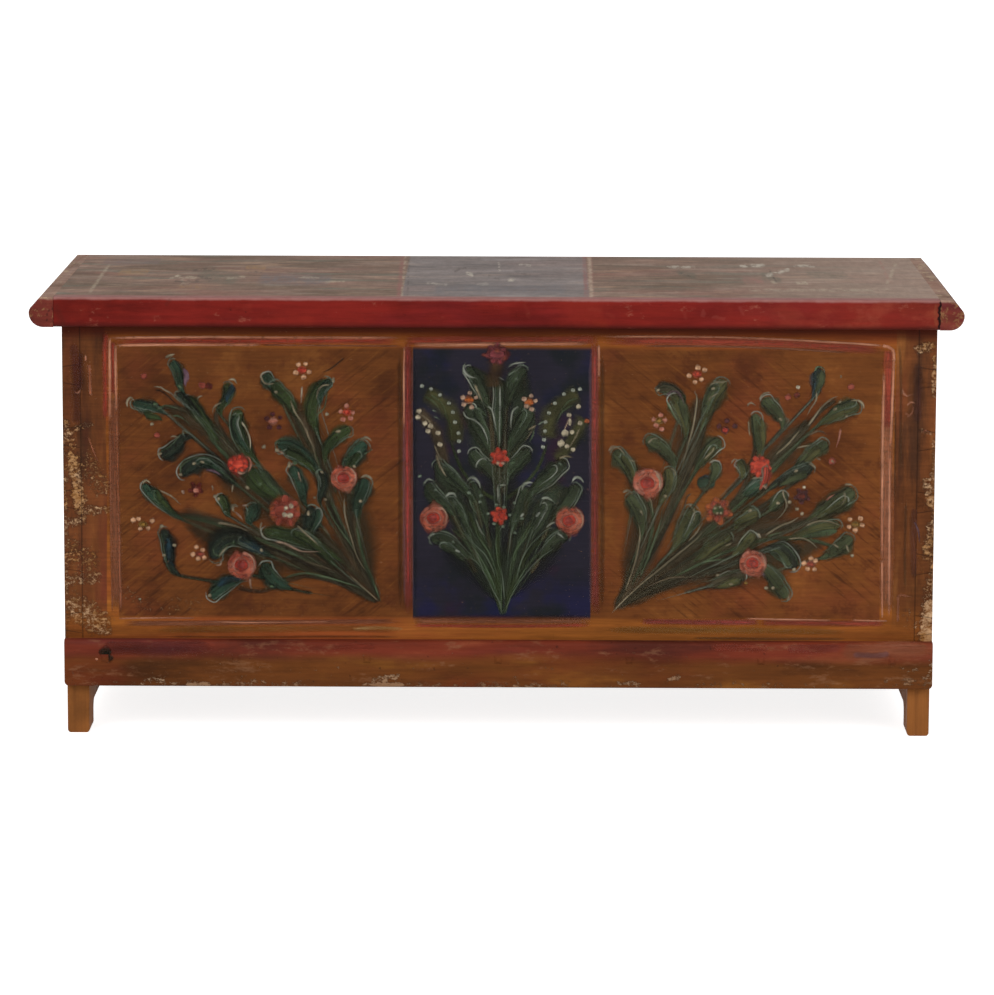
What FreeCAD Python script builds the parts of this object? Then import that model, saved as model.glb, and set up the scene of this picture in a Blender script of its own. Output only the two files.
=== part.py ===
import FreeCAD, Part
import math
import os
import re
import Sketcher

# A painted chest: a dovetailed carcass on two sledge runners, a skirting board along its front, a small
# open till inside, and an overhanging lid on two strap hinges. Millimetres, +Z up, the front towards -Y.
# The origin is on the floor, in the middle of the chest with its lid shut. The lid hangs over further at
# the left end, because the carcass sits carcass_shift to the right of its middle.

# Driving sizes; names that end in count, share or slope hold a number, a share or an angle
SIZES = {
    # Carcass walls, each an upper and a lower board
    "carcass_length": 1222,
    "carcass_depth": 532,
    "carcass_shift": 4,
    "lower_height": 264,
    "upper_height": 264,
    "side_thickness": 25,
    "front_thickness": 25,
    "back_thickness": 25,
    "seam_gap": 0.1,
    # Through dovetails at the corners
    "tail_count": 3,
    "pin_narrow": 22,
    "tail_flare": 4,
    "joint_gap": 0.1,
    # Bottom boards
    "bottom_thickness": 20,
    "bottom_gap": 0.5,
    # Sledge runners
    "runner_height": 70,
    "runner_thickness": 31,
    "runner_inset": 2.5,
    "rail_height": 34,
    "foot_depth": 60,
    "cutout_round": 16,
    "foot_round": 5,
    # Front skirting
    "skirting_height": 66,
    "skirting_thickness": 16,
    "skirting_top_round": 6,
    "skirting_foot_round": 3,
    "skirting_end_round": 7,
    # Till
    "till_width": 170,
    "till_height": 140,
    "till_drop": 14,
    "till_thickness": 12,
    "till_floor_thickness": 10,
    "groove_depth": 6,
    "groove_gap": 0.2,
    # Lid boards, tongued into the battens
    "lid_thickness": 24,
    "lid_back_width": 268,
    "lid_side_gap": 5,
    "lid_gap": 0.3,
    "tongue_length": 16,
    "tongue_thickness": 8,
    "tongue_gap": 0.15,
    # Lip and end battens, which hang below the lid boards outside the carcass
    "edging_height": 42,
    "lip_thickness": 22,
    "lip_gap": 6,
    "lip_end_gap": 0.5,
    "lip_top_round": 2,
    "lip_foot_round": 6,
    "batten_thickness": 34,
    "nose_height": 20,
    "nose_round": 12,
    "nose_slope": 42,
    # Strap hinges
    "hinge_spacing": 740,
    "strap_thickness": 3,
    "strap_width": 36,
    "strap_tip_width": 20,
    "strap_length": 320,
    "strap_end_round": 15,
    "leaf_length": 170,
    "knuckle_width": 12,
    "knuckle_side_gap": 0.3,
    "knuckle_gap": 0.4,
    "pin_radius": 4,
    "pin_clearance": 0.08,
    "pin_end_gap": 0.3,
    "pin_head_radius": 6,
    "pin_head_tip": 3,
    "pin_head_height": 2.5,
    "notch_side_gap": 1,
    "notch_floor_gap": 0.5,
    # Forged nails, headless brads and wooden pegs, all four-sided
    "nail_shank": 4,
    "nail_point": 1.5,
    "nail_head": 11,
    "nail_head_tip": 4,
    "nail_head_height": 3,
    "nail_gap": 0.1,
    "cut_overrun": 1,
    "wall_nail_length": 45,
    "runner_nail_length": 60,
    "strap_nail_length": 20,
    "brad_length": 45,
    "brad_width": 5,
    "peg_length": 30,
    "peg_width": 8,
    "peg_point": 6,
    "skirting_nail_count": 7,
    "skirting_nail_inset": 57,
    "skirting_nail_rise": 40,
    "back_nail_count": 5,
    "back_nail_inset": 90,
    "brad_count": 7,
    "brad_inset": 60,
}

# Where nails and pegs stand, as shares of the length that they are spread along
PLANK_NAIL_SHARES = (0.25, 0.75)
RUNNER_NAIL_SHARES = (0.25, 0.5, 0.75)
PEG_SHARES = (0.14, 0.42, 0.86)
STRAP_NAIL_SHARES = (0.2, 0.45, 0.7, 0.95)
LEAF_NAIL_SHARES = (0.22, 0.55, 0.9)

# Sizes and places that follow from the driving sizes
FORMULAS = {
    "half_length": "carcass_length / 2",
    "side_inner": "half_length - side_thickness",
    "lid_depth": "carcass_depth + lip_gap + lip_thickness",
    "knuckle_radius": "pin_radius + pin_clearance + strap_thickness",
    "bore_radius": "pin_radius + pin_clearance",
    "hinge_reach": "2 * knuckle_radius + knuckle_gap",
    "lip_front": "-(lid_depth + hinge_reach) / 2",
    "lip_back": "lip_front + lip_thickness",
    "front_face": "lip_back + lip_gap",
    "front_inner": "front_face + front_thickness",
    "back_face": "front_face + carcass_depth",
    "back_inner": "back_face - back_thickness",
    "upper_level": "runner_height + lower_height + seam_gap",
    "rim": "runner_height + lower_height + upper_height",
    "lid_under": "rim + lid_gap",
    "lid_top": "lid_under + lid_thickness",
    "edging_bottom": "lid_top - edging_height",
    "lid_half": "half_length + lid_side_gap",
    "cutout_height": "runner_height - rail_height",
    "plank_depth": "(back_inner - front_inner - 4 * bottom_gap) / 3",
    "till_wall": "till_width - side_inner",
    "till_outer": "till_wall + till_thickness",
    "till_floor": "rim - till_drop - till_height - till_floor_thickness",
    "tongue_level": "(lid_thickness - tongue_thickness) / 2",
    "pin_y": "back_face + knuckle_gap + knuckle_radius",
    "pin_z": "lid_under - knuckle_radius",
    "knuckle_clear": "knuckle_radius + knuckle_gap",
    "strap_end": "strap_end_round + sqrt(strap_end_round ^ 2 - strap_tip_width ^ 2 / 4)",
}

# The way a sketch plane's normal points along its own axis
NORMALS = {"XY_Plane": 1, "XZ_Plane": -1, "YZ_Plane": 1}

# Turns that point a nail's head, which is made facing +Y, to each side
X_AXIS = FreeCAD.Vector(1, 0, 0)
Z_AXIS = FreeCAD.Vector(0, 0, 1)
FACINGS = {
    "back": FreeCAD.Rotation(Z_AXIS, 0),
    "front": FreeCAD.Rotation(Z_AXIS, 180),
    "right": FreeCAD.Rotation(Z_AXIS, -90),
    "left": FreeCAD.Rotation(Z_AXIS, 90),
    "up": FreeCAD.Rotation(X_AXIS, 90),
    "down": FreeCAD.Rotation(X_AXIS, -90),
}

doc = FreeCAD.newDocument("chest")
nodes = []


def make_sheet():
    """The spreadsheet of driving sizes, one alias to a row."""
    made = doc.addObject("Spreadsheet::Sheet", "sizes")
    for row, (name, size) in enumerate(SIZES.items(), 1):
        made.set(f"A{row}", name)
        made.set(f"B{row}", str(size))
        made.setAlias(f"B{row}", name)
    doc.recompute()
    return made


sheet = make_sheet()


def full(text):
    """A formula with its named formulas written out and its sizes looked up in the sheet."""

    def spell(match):
        word = match.group()
        if word in FORMULAS:
            return "(" + full(FORMULAS[word]) + ")"
        return "sizes." + word if word in SIZES else word

    return re.sub(r"[a-z][a-z_]*", spell, text)


def number(text):
    """What a formula comes to now."""
    return float(sheet.evalExpression(full(text)))


def bind(thing, prop, text):
    """Ties a property to a formula."""
    thing.setExpression(prop, full(text))


def place(thing, x, y, z, turn=None):
    """Puts a thing at three formulas, turned or not."""
    if turn:
        thing.Placement = FreeCAD.Placement(FreeCAD.Vector(), turn)
    for axis, text in (("x", x), ("y", y), ("z", z)):
        bind(thing, "Placement.Base." + axis, text)


def node(thing, label):
    """Names a finished sub-part."""
    thing.Label = label
    nodes.append(thing)
    return thing


def new_body(name):
    return doc.addObject("PartDesign::Body", name)


def new_sketch(body, role, start):
    """An empty sketch on one of the body's own planes, moved along that plane's axis to start."""
    plane = next(f for f in body.Origin.OriginFeatures if f.Role == role)
    sketch = body.newObject("Sketcher::SketchObject", "sketch")
    sketch.AttachmentSupport = (plane, [""])
    sketch.MapMode = "FlatFace"
    bind(sketch, "AttachmentOffset.Base.z", f"{NORMALS[role]} * ({start})")
    return sketch


def arc_between(start, end, radius, side):
    """The arc under half a circle from start to end, its centre left of the way there for side 1."""
    middle = (start + end) * 0.5
    chord = end - start
    rise = math.sqrt(max(radius**2 - (chord.Length / 2) ** 2, 0))
    left = FreeCAD.Vector(-chord.y, chord.x, 0).normalize()
    centre = middle + left * (rise * side)
    first, last = (start, end) if side > 0 else (end, start)
    angles = [math.atan2(p.y - centre.y, p.x - centre.x) for p in (first, last)]
    return Part.ArcOfCircle(Part.Circle(centre, Z_AXIS, radius), angles[0], angles[1])


def limit(sketch, kind, text, *ends):
    """Adds a dimension and ties it to a formula."""
    index = sketch.addConstraint(Sketcher.Constraint(kind, *ends, number(text)))
    bind(sketch, f"Constraints[{index}]", text)


def draw(sketch, corners, arcs=None):
    """Draws a closed outline through corners; arcs maps the corner where one starts to (radius, side)."""
    arcs = arcs or {}
    points = [FreeCAD.Vector(number(across), number(up)) for across, up in corners]
    ends = []
    for i, start in enumerate(points):
        end = points[(i + 1) % len(points)]
        if i in arcs:
            radius, side = arcs[i]
            piece = sketch.addGeometry(arc_between(start, end, number(radius), side))
            limit(sketch, "Radius", radius, piece)
            ends.append((piece, 1, 2) if side > 0 else (piece, 2, 1))
        else:
            ends.append((sketch.addGeometry(Part.LineSegment(start, end)), 1, 2))
    for i, (piece, first, last) in enumerate(ends):
        after, after_first = ends[(i + 1) % len(ends)][:2]
        sketch.addConstraint(Sketcher.Constraint("Coincident", piece, last, after, after_first))
        limit(sketch, "DistanceX", corners[i][0], -1, 1, piece, first)
        limit(sketch, "DistanceY", corners[i][1], -1, 1, piece, first)


def draw_circle(sketch, radius):
    """Draws a circle round the sketch's origin."""
    piece = sketch.addGeometry(Part.Circle(FreeCAD.Vector(), Z_AXIS, number(radius)))
    sketch.addConstraint(Sketcher.Constraint("Coincident", piece, 3, -1, 1))
    limit(sketch, "Radius", radius, piece)


def extrude(body, kind, sketch, length):
    """Pads or pockets a sketch towards the positive side of its plane's axis."""
    feature = body.newObject("PartDesign::" + kind, kind.lower())
    feature.Profile = (sketch, [""])
    normal = NORMALS[sketch.AttachmentSupport[0][0].Role]
    feature.Reversed = normal < 0 if kind == "Pad" else normal > 0
    bind(feature, "Length", length)
    return feature


def shape(body, kind, role, start, length, *outlines):
    """Pads or pockets outlines, each a list of corners or a pair of corners and arcs."""
    sketch = new_sketch(body, role, start)
    for outline in outlines:
        if isinstance(outline, tuple):
            draw(sketch, *outline)
        else:
            draw(sketch, outline)
    return extrude(body, kind, sketch, length)


def shape_circle(body, kind, start, length, radius):
    """Pads or pockets a circle round the body's X axis."""
    sketch = new_sketch(body, "YZ_Plane", start)
    draw_circle(sketch, radius)
    return extrude(body, kind, sketch, length)


def repeat_up(body, feature, pitch):
    """Repeats a feature up the board, once for each tail."""
    pattern = body.newObject("PartDesign::LinearPattern", "pattern")
    pattern.Originals = [feature]
    pattern.Direction = (feature.Profile[0], ["V_Axis"])
    bind(pattern, "Length", f"({pitch}) * (tail_count - 1)")
    bind(pattern, "Occurrences", "tail_count")
    body.Tip = pattern


def rectangle(low_x, high_x, low_y, high_y):
    return [(low_x, low_y), (high_x, low_y), (high_x, high_y), (low_x, high_y)]


def box(name, low_x, size_x, low_y, size_y, low_z, size_z):
    """A plain board, from its lowest corner and its sizes."""
    made = doc.addObject("Part::Box", name)
    for prop, text in (("Length", size_x), ("Width", size_y), ("Height", size_z)):
        bind(made, prop, text)
    place(made, low_x, low_y, low_z)
    return made


def cut(base, tool, name):
    made = doc.addObject("Part::Cut", name)
    made.Base = base
    made.Tool = tool
    return made


def finish(blank, label, *holes):
    """Cuts nail holes through a blank, one group at a time, and names the finished piece."""
    for group in holes:
        blank = cut(blank, group, "drilled")
    return node(blank, label)


def taper(name, at, facing, low, high, low_width, high_width):
    """A four-sided taper along a nail's axis, square at both ends."""
    made = doc.addObject("Part::Wedge", name)
    bind(made, "Ymin", low)
    bind(made, "Ymax", high)
    for end, sign in (("min", "-"), ("max", "")):
        for axis in "XZ":
            bind(made, axis + end, f"{sign}({low_width}) / 2")
            bind(made, axis + "2" + end, f"{sign}({high_width}) / 2")
    place(made, *at, FACINGS[facing])
    return made


def join(name, pieces):
    made = doc.addObject("Part::MultiFuse", name)
    made.Shapes = pieces
    return made


def drive(label, spots, length, width="nail_shank", point="nail_point", headed=True):
    """Makes a node of nails, one at each (place, facing), and returns the group of their holes."""
    solids, holes = [], []
    for at, facing in spots:
        solids.append(taper("shank", at, facing, f"-({length})", "0", point, width))
        if headed:
            solids.append(taper("head", at, facing, "0", "nail_head_height", "nail_head", "nail_head_tip"))
        wide = [f"{size} + 2 * nail_gap" for size in (point, width)]
        holes.append(taper("hole", at, facing, f"-({length} + nail_gap)", "cut_overrun", *wide))
    node(join(label, solids), label)
    return join(label + "_holes", holes)


def evenly(first, last, count):
    """Formulas for places spread evenly from first to last."""
    steps = int(number(count)) - 1
    return [f"{first} + ({last} - ({first})) * {i} / {steps}" for i in range(steps + 1)]


def tail_outline(side, root, end, gap, pitch):
    """One dovetail from the front: narrow at its root, wide at the chest's side; gap opens its socket."""
    narrow = f"pin_narrow / 2 + tail_flare - {gap}"
    wide = f"pin_narrow / 2 - {gap}"
    return [
        (f"{side} * ({root})", narrow),
        (f"{side} * ({end})", wide),
        (f"{side} * ({end})", f"{pitch} - ({wide})"),
        (f"{side} * ({root})", f"{pitch} - ({narrow})"),
    ]


def wall_board(name, y, thickness, level, height):
    """A front or back board with tails at both ends, its outer or inner face at y."""
    body = new_body(name)
    pitch = f"({height}) / tail_count"
    root = "side_inner - joint_gap"
    shape(body, "Pad", "XZ_Plane", "0", thickness, rectangle(f"-({root})", root, "0", height))
    tails = [tail_outline(side, root, "half_length", "0", pitch) for side in (-1, 1)]
    repeat_up(body, shape(body, "Pad", "XZ_Plane", "0", thickness, *tails), pitch)
    place(body, "carcass_shift", y, level)
    return body


def side_board(name, side, level, height):
    """A side board with sockets for the tails of the front and back boards."""
    body = new_body(name)
    pitch = f"({height}) / tail_count"
    blank = rectangle("0", f"{side} * side_thickness", "0", height)
    shape(body, "Pad", "XZ_Plane", "0", "carcass_depth", blank)
    socket = tail_outline(side, "0", "side_thickness", "joint_gap", pitch)
    back = "carcass_depth - back_thickness - joint_gap"
    for start, depth in (("0", "front_thickness"), (back, "back_thickness")):
        repeat_up(body, shape(body, "Pocket", "XZ_Plane", start, f"{depth} + joint_gap", socket), pitch)
    place(body, f"carcass_shift + {side} * side_inner", "front_face", level)
    return body


def till_groove(body, start):
    """Cuts the groove that holds the till's floor and partition, in an upper front or back board."""
    low = "till_floor - upper_level - groove_gap"
    floor = "till_floor - upper_level + till_floor_thickness + groove_gap"
    top = "rim - till_drop - upper_level + groove_gap"
    corners = [
        ("-(side_inner)", low),
        ("till_outer + groove_gap", low),
        ("till_outer + groove_gap", top),
        ("till_wall - groove_gap", top),
        ("till_wall - groove_gap", floor),
        ("-(side_inner)", floor),
    ]
    shape(body, "Pocket", "XZ_Plane", start, "groove_depth", corners)


def hinge_notches(board):
    """Cuts the rim of the back wall where the two straps pass over it."""
    notches = []
    depth = "strap_thickness - lid_gap + notch_floor_gap"
    width = "strap_width + 2 * notch_side_gap"
    for side in (-1, 1):
        low_x = f"{side} * hinge_spacing / 2 - ({width}) / 2"
        low_z = f"rim - ({depth})"
        length = "back_thickness + 2 * cut_overrun"
        height = f"{depth} + cut_overrun"
        notches.append(box("notch", low_x, width, "back_inner - cut_overrun", length, low_z, height))
    return cut(board, join("notches", notches), "notched")


def carcass():
    """The four walls and the nails that hold the bottom boards, skirting and runners to them."""
    skirting = skirting_nails()
    bottom = bottom_nails()
    runner = runner_nails()
    leaf = leaf_nails()
    lower = ("runner_height", "lower_height")
    upper = ("upper_level", "upper_height - seam_gap")

    finish(wall_board("front_lower", "front_face", "front_thickness", *lower), "front_lower_board", skirting)
    finish(wall_board("back_lower", "back_inner", "back_thickness", *lower), "back_lower_board", bottom)
    front = wall_board("front_upper", "front_face", "front_thickness", *upper)
    till_groove(front, "front_thickness - groove_depth")
    finish(front, "front_upper_board")
    back = wall_board("back_upper", "back_inner", "back_thickness", *upper)
    till_groove(back, "0")
    finish(hinge_notches(back), "back_upper_board", leaf)
    for word, side in (("left", -1), ("right", 1)):
        finish(side_board(word + "_lower", side, *lower), word + "_lower_board", bottom, runner)
        finish(side_board(word + "_upper", side, *upper), word + "_upper_board")
        finish(runner_body(word + "_sledge", side), word + "_runner", runner)
    finish(skirting_body(), "front_skirting", skirting)
    for i, word in enumerate(("front", "middle", "back")):
        finish(bottom_board(i), f"bottom_{word}_board", bottom)
    return leaf


def skirting_nails():
    reach = "half_length - skirting_nail_inset"
    xs = evenly(f"carcass_shift - ({reach})", f"carcass_shift + {reach}", "skirting_nail_count")
    y = "front_face - skirting_thickness"
    z = "runner_height + skirting_nail_rise"
    return drive("skirting_nails", [((x, y, z), "front") for x in xs], "wall_nail_length")


def plank_front(i):
    return f"front_inner + bottom_gap + {i} * (plank_depth + bottom_gap)"


def bottom_nails():
    """Nails through the side and back walls into the edges of the bottom boards."""
    z = "runner_height + bottom_thickness / 2"
    spots = []
    for word, side in (("left", -1), ("right", 1)):
        for i in range(3):
            for share in PLANK_NAIL_SHARES:
                y = f"{plank_front(i)} + {share} * plank_depth"
                spots.append(((f"carcass_shift + {side} * half_length", y, z), word))
    reach = "half_length - back_nail_inset"
    for x in evenly(f"carcass_shift - ({reach})", f"carcass_shift + {reach}", "back_nail_count"):
        spots.append(((x, "back_face", z), "back"))
    return drive("bottom_nails", spots, "wall_nail_length")


def runner_nails():
    """Spikes up through the rail of each runner into the side wall."""
    spots = []
    for side in (-1, 1):
        x = f"carcass_shift + {side} * (half_length - side_thickness / 2)"
        for share in RUNNER_NAIL_SHARES:
            spots.append(((x, f"front_face + {share} * carcass_depth", "cutout_height"), "down"))
    return drive("runner_nails", spots, "runner_nail_length")


def bottom_board(i):
    """One of the three boards that lie between the walls, with its ends on the runners."""
    across = ("carcass_shift + bottom_gap - side_inner", "2 * (side_inner - bottom_gap)")
    return box("plank", *across, plank_front(i), "plank_depth", "runner_height", "bottom_thickness")


def skirting_body():
    """The skirting board, rounded along the top edge, a little along the foot and at its lower corners."""
    body = new_body("skirting")
    face = "-skirting_thickness"
    corners = [
        ("0", "0"),
        ("0", "skirting_height"),
        (f"{face} + skirting_top_round", "skirting_height"),
        (face, "skirting_height - skirting_top_round"),
        (face, "skirting_foot_round"),
        (f"{face} + skirting_foot_round", "0"),
    ]
    arcs = {2: ("skirting_top_round", 1), 4: ("skirting_foot_round", 1)}
    shape(body, "Pad", "YZ_Plane", "-half_length", "carcass_length", (corners, arcs))
    for side in (-1, 1):
        end = f"{side} * half_length"
        turn = f"{side} * (half_length - skirting_end_round)"
        corner = [(end, "0"), (end, "skirting_end_round"), (turn, "0")]
        off = (corner, {1: ("skirting_end_round", -side)})
        shape(body, "Pocket", "XZ_Plane", face, "skirting_thickness", off)
    place(body, "carcass_shift", "front_face", "runner_height")
    return body


def runner_body(name, side):
    """A runner from front to back: a foot at each end, and a rail over the cut-out between them."""
    body = new_body(name)
    far = "carcass_depth - foot_depth"
    corners = [
        ("0", "0"),
        ("foot_depth", "0"),
        ("foot_depth", "cutout_height - cutout_round"),
        ("foot_depth + cutout_round", "cutout_height"),
        (f"{far} - cutout_round", "cutout_height"),
        (far, "cutout_height - cutout_round"),
        (far, "0"),
        ("carcass_depth", "0"),
        ("carcass_depth", "runner_height"),
        ("0", "runner_height"),
    ]
    arcs = {2: ("cutout_round", -1), 4: ("cutout_round", -1)}
    start = "half_length - runner_inset - runner_thickness"
    if side < 0:
        start = "runner_inset - half_length"
    pad = shape(body, "Pad", "YZ_Plane", start, "runner_thickness", (corners, arcs))
    doc.recompute()
    soles = []
    for i, edge in enumerate(pad.Shape.Edges, 1):
        low = edge.BoundBox.ZMax < number("foot_round")
        if low and edge.BoundBox.YLength > edge.BoundBox.XLength:
            soles.append(f"Edge{i}")
    fillet = body.newObject("PartDesign::Fillet", "soles")
    fillet.Base = (pad, soles)
    bind(fillet, "Radius", "foot_round")
    place(body, "carcass_shift", "front_face", "0")
    return body


def till():
    """The till's floor and partition, held in grooves in the front and back walls."""
    low_y = "front_inner - groove_depth + groove_gap"
    size_y = "back_inner - front_inner + 2 * (groove_depth - groove_gap)"
    low_z = "till_floor + till_floor_thickness"
    wide = "till_outer + side_inner - groove_gap"
    floor = ("till_floor", "till_floor_thickness")
    left = "carcass_shift + groove_gap - side_inner"
    node(box("floor", left, wide, low_y, size_y, *floor), "till_bottom")
    size_x = ("carcass_shift + till_wall", "till_thickness")
    node(box("partition", *size_x, low_y, size_y, low_z, "till_height"), "till_partition")


def lid_board(name, y, width):
    """A lid board with a tongue along each end."""
    body = new_body(name)
    shoulder = "lid_half"
    tip = "lid_half + tongue_length"
    low = "tongue_level"
    high = "tongue_level + tongue_thickness"
    half = [
        (shoulder, "0"),
        (shoulder, low),
        (tip, low),
        (tip, high),
        (shoulder, high),
        (shoulder, "lid_thickness"),
    ]
    corners = half + [(f"-({x})", z) for x, z in reversed(half)]
    shape(body, "Pad", "XZ_Plane", "0", width, corners)
    place(body, "0", y, "lid_under")
    return body


def batten_body(name, side):
    """An end batten: a sloped top edge, a round nose, a round foot and a stopped groove inside."""
    body = new_body(name)
    nose = "batten_thickness - nose_round"
    turn_x = f"{nose} + nose_round * cos(nose_slope)"
    turn_z = "nose_height + nose_round * sin(nose_slope)"
    ridge = f"{turn_x} - (edging_height - ({turn_z})) * tan(nose_slope)"
    corners = [
        ("0", "0"),
        (f"{side} * (batten_thickness - nose_height)", "0"),
        (f"{side} * batten_thickness", "nose_height"),
        (f"{side} * ({turn_x})", turn_z),
        (f"{side} * ({ridge})", "edging_height"),
        ("0", "edging_height"),
    ]
    arcs = {1: ("nose_height", side), 2: ("nose_round", side)}
    shape(body, "Pad", "XZ_Plane", "0", "lid_depth", (corners, arcs))
    level = "edging_height - lid_thickness + tongue_level"
    low, high = f"{level} - tongue_gap", f"{level} + tongue_thickness + tongue_gap"
    groove = rectangle("0", f"{side} * (tongue_length + tongue_gap)", low, high)
    shape(body, "Pocket", "XZ_Plane", "lip_thickness", "lid_depth - lip_thickness", groove)
    place(body, f"{side} * lid_half", "lip_front", "edging_bottom")
    return body


def lip_body():
    """The lip along the front of the lid, between the battens' ends."""
    body = new_body("lip")
    corners = [
        ("lip_thickness", "0"),
        ("lip_thickness", "edging_height"),
        ("lip_top_round", "edging_height"),
        ("0", "edging_height - lip_top_round"),
        ("0", "lip_foot_round"),
        ("lip_foot_round", "0"),
    ]
    arcs = {2: ("lip_top_round", 1), 4: ("lip_foot_round", 1)}
    low = "lip_end_gap - lid_half"
    shape(body, "Pad", "YZ_Plane", low, "2 * (lid_half - lip_end_gap)", (corners, arcs))
    place(body, "0", "lip_front", "edging_bottom")
    return body


def lid():
    """The lid boards, lip and battens, with their brads, pegs and strap nails."""
    brads = drive("lip_nails", brad_spots(), "brad_length", "brad_width", headed=False)
    pegs = drive("batten_pegs", peg_spots(), "peg_length", "peg_width", "peg_point", headed=False)
    straps = strap_nails()
    front_width = "lid_depth - lip_thickness - lid_back_width - 2 * seam_gap"
    front = lid_board("lid_front", "lip_back + seam_gap", front_width)
    finish(front, "lid_front_board", brads, pegs, straps)
    back = lid_board("lid_back", "back_face - lid_back_width", "lid_back_width")
    finish(back, "lid_back_board", pegs, straps)
    finish(lip_body(), "lid_front_lip", brads)
    for word, side in (("left", -1), ("right", 1)):
        finish(batten_body(word + "_edge", side), f"lid_{word}_batten", pegs)
    return straps


def brad_spots():
    xs = evenly("brad_inset - lid_half", "lid_half - brad_inset", "brad_count")
    return [((x, "lip_front", "lid_under + lid_thickness / 2"), "front") for x in xs]


def peg_spots():
    spots = []
    for side in (-1, 1):
        for share in PEG_SHARES:
            x = f"{side} * (lid_half + tongue_length / 2)"
            spots.append(((x, f"lip_front + {share} * lid_depth", "lid_top"), "up"))
    return spots


def strap_nails():
    spots = []
    for side in (-1, 1):
        for share in STRAP_NAIL_SHARES:
            y = f"pin_y - {share} * strap_length"
            spots.append(((f"{side} * hinge_spacing / 2", y, "pin_z + bore_radius"), "down"))
    return drive("strap_nails", spots, "strap_nail_length")


def leaf_nails():
    spots = []
    for side in (-1, 1):
        for share in LEAF_NAIL_SHARES:
            z = f"pin_z - {share} * leaf_length"
            spots.append(((f"{side} * hinge_spacing / 2", "back_face + strap_thickness", z), "back"))
    return drive("leaf_nails", spots, "strap_nail_length")


def tongue_of_iron(top, length):
    """A strap's outline from its neck to its round end, drawn downwards from its given top corners."""
    start = f"-({length}) + strap_end"
    right = top + [("strap_tip_width / 2", start)]
    corners = right + [("0", f"-({length})")] + [(f"-({x})", z) for x, z in reversed(right)]
    turn = len(right) - 1
    return corners, {turn: ("strap_end_round", -1), turn + 1: ("strap_end_round", -1)}


def strap_body(name):
    """The strap under the lid, rolled into the middle knuckle at its back end."""
    body = new_body(name)
    shoulder = "-(knuckle_clear)"
    top = [
        ("knuckle_width / 2", "0"),
        ("knuckle_width / 2", shoulder),
        ("strap_width / 2", shoulder),
    ]
    shape(body, "Pad", "XY_Plane", "bore_radius", "strap_thickness", tongue_of_iron(top, "strap_length"))
    shape_circle(body, "Pad", "-knuckle_width / 2", "knuckle_width", "knuckle_radius")
    shape_circle(body, "Pocket", "-knuckle_width / 2", "knuckle_width", "bore_radius")
    return body


def leaf_body(name):
    """The leaf on the back wall, rolled into the two outer knuckles."""
    body = new_body(name)
    inner = "knuckle_width / 2 + knuckle_side_gap"
    top = [
        (inner, "-(knuckle_clear)"),
        (inner, "0"),
        ("strap_width / 2", "0"),
        ("strap_width / 2", "-(knuckle_clear)"),
    ]
    plate = tongue_of_iron(top, "leaf_length")
    shape(body, "Pad", "XZ_Plane", "-(knuckle_clear)", "strap_thickness", plate)
    width = f"strap_width / 2 - ({inner})"
    for start in (inner, "-strap_width / 2"):
        shape_circle(body, "Pad", start, width, "knuckle_radius")
    shape_circle(body, "Pocket", "-strap_width / 2", "strap_width", "bore_radius")
    return body


def pin_body(name):
    """The hinge pin, riveted over at both ends."""
    body = new_body(name)
    half = "strap_width / 2 + pin_end_gap"
    end = f"{half} + pin_head_height"
    right = [
        (half, "pin_radius"),
        (half, "pin_head_radius"),
        (end, "pin_head_tip"),
        (end, "0"),
    ]
    sketch = new_sketch(body, "XY_Plane", "0")
    draw(sketch, right + [(f"-({x})", r) for x, r in reversed(right)])
    turned = body.newObject("PartDesign::Revolution", "revolution")
    turned.Profile = (sketch, [""])
    turned.ReferenceAxis = (sketch, ["H_Axis"])
    turned.Angle = 360
    return body


def hinges(strap_holes, leaf_holes):
    for word, side in (("left", -1), ("right", 1)):
        strap, leaf, pin = (make(word) for make in (strap_body, leaf_body, pin_body))
        for piece in (strap, leaf, pin):
            place(piece, f"{side} * hinge_spacing / 2", "pin_y", "pin_z")
        finish(strap, word + "_hinge_strap", strap_holes)
        finish(leaf, word + "_hinge_leaf", leaf_holes)
        finish(pin, word + "_hinge_pin")


def check_and_write():
    """Stops on any failed object or empty shape, then writes one file to a node."""
    doc.recompute()
    for thing in doc.Objects:
        if "Invalid" in thing.State or "Error" in thing.State:
            raise RuntimeError(f"{thing.Label} failed: {thing.State}")
    for thing in nodes:
        if thing.Shape.isNull() or not thing.Shape.isValid() or not thing.Shape.Solids:
            raise RuntimeError(f"{thing.Label} has no valid solid")
    os.makedirs("parts", exist_ok=True)
    for thing in nodes:
        thing.Shape.exportStep(f"parts/{thing.Label}.step")
        print(thing.Label, len(thing.Shape.Solids), round(thing.Shape.Volume))


leaf_holes = carcass()
till()
strap_holes = lid()
hinges(strap_holes, leaf_holes)
check_and_write()
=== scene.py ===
import math
import random

import bmesh
import bpy
from mathutils import Matrix, Vector


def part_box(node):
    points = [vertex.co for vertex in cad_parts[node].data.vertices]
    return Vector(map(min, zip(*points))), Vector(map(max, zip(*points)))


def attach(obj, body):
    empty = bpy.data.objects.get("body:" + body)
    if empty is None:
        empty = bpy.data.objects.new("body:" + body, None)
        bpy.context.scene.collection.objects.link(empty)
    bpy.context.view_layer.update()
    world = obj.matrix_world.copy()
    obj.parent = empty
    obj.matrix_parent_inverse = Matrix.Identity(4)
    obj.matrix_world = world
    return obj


# The finish of a painted chest: aged paint with frames and flower sprays on the front, a faded lid, worn
# edges, bare pine inside and forged iron at the back. Metres, +Z up, the front towards -Y.

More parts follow.
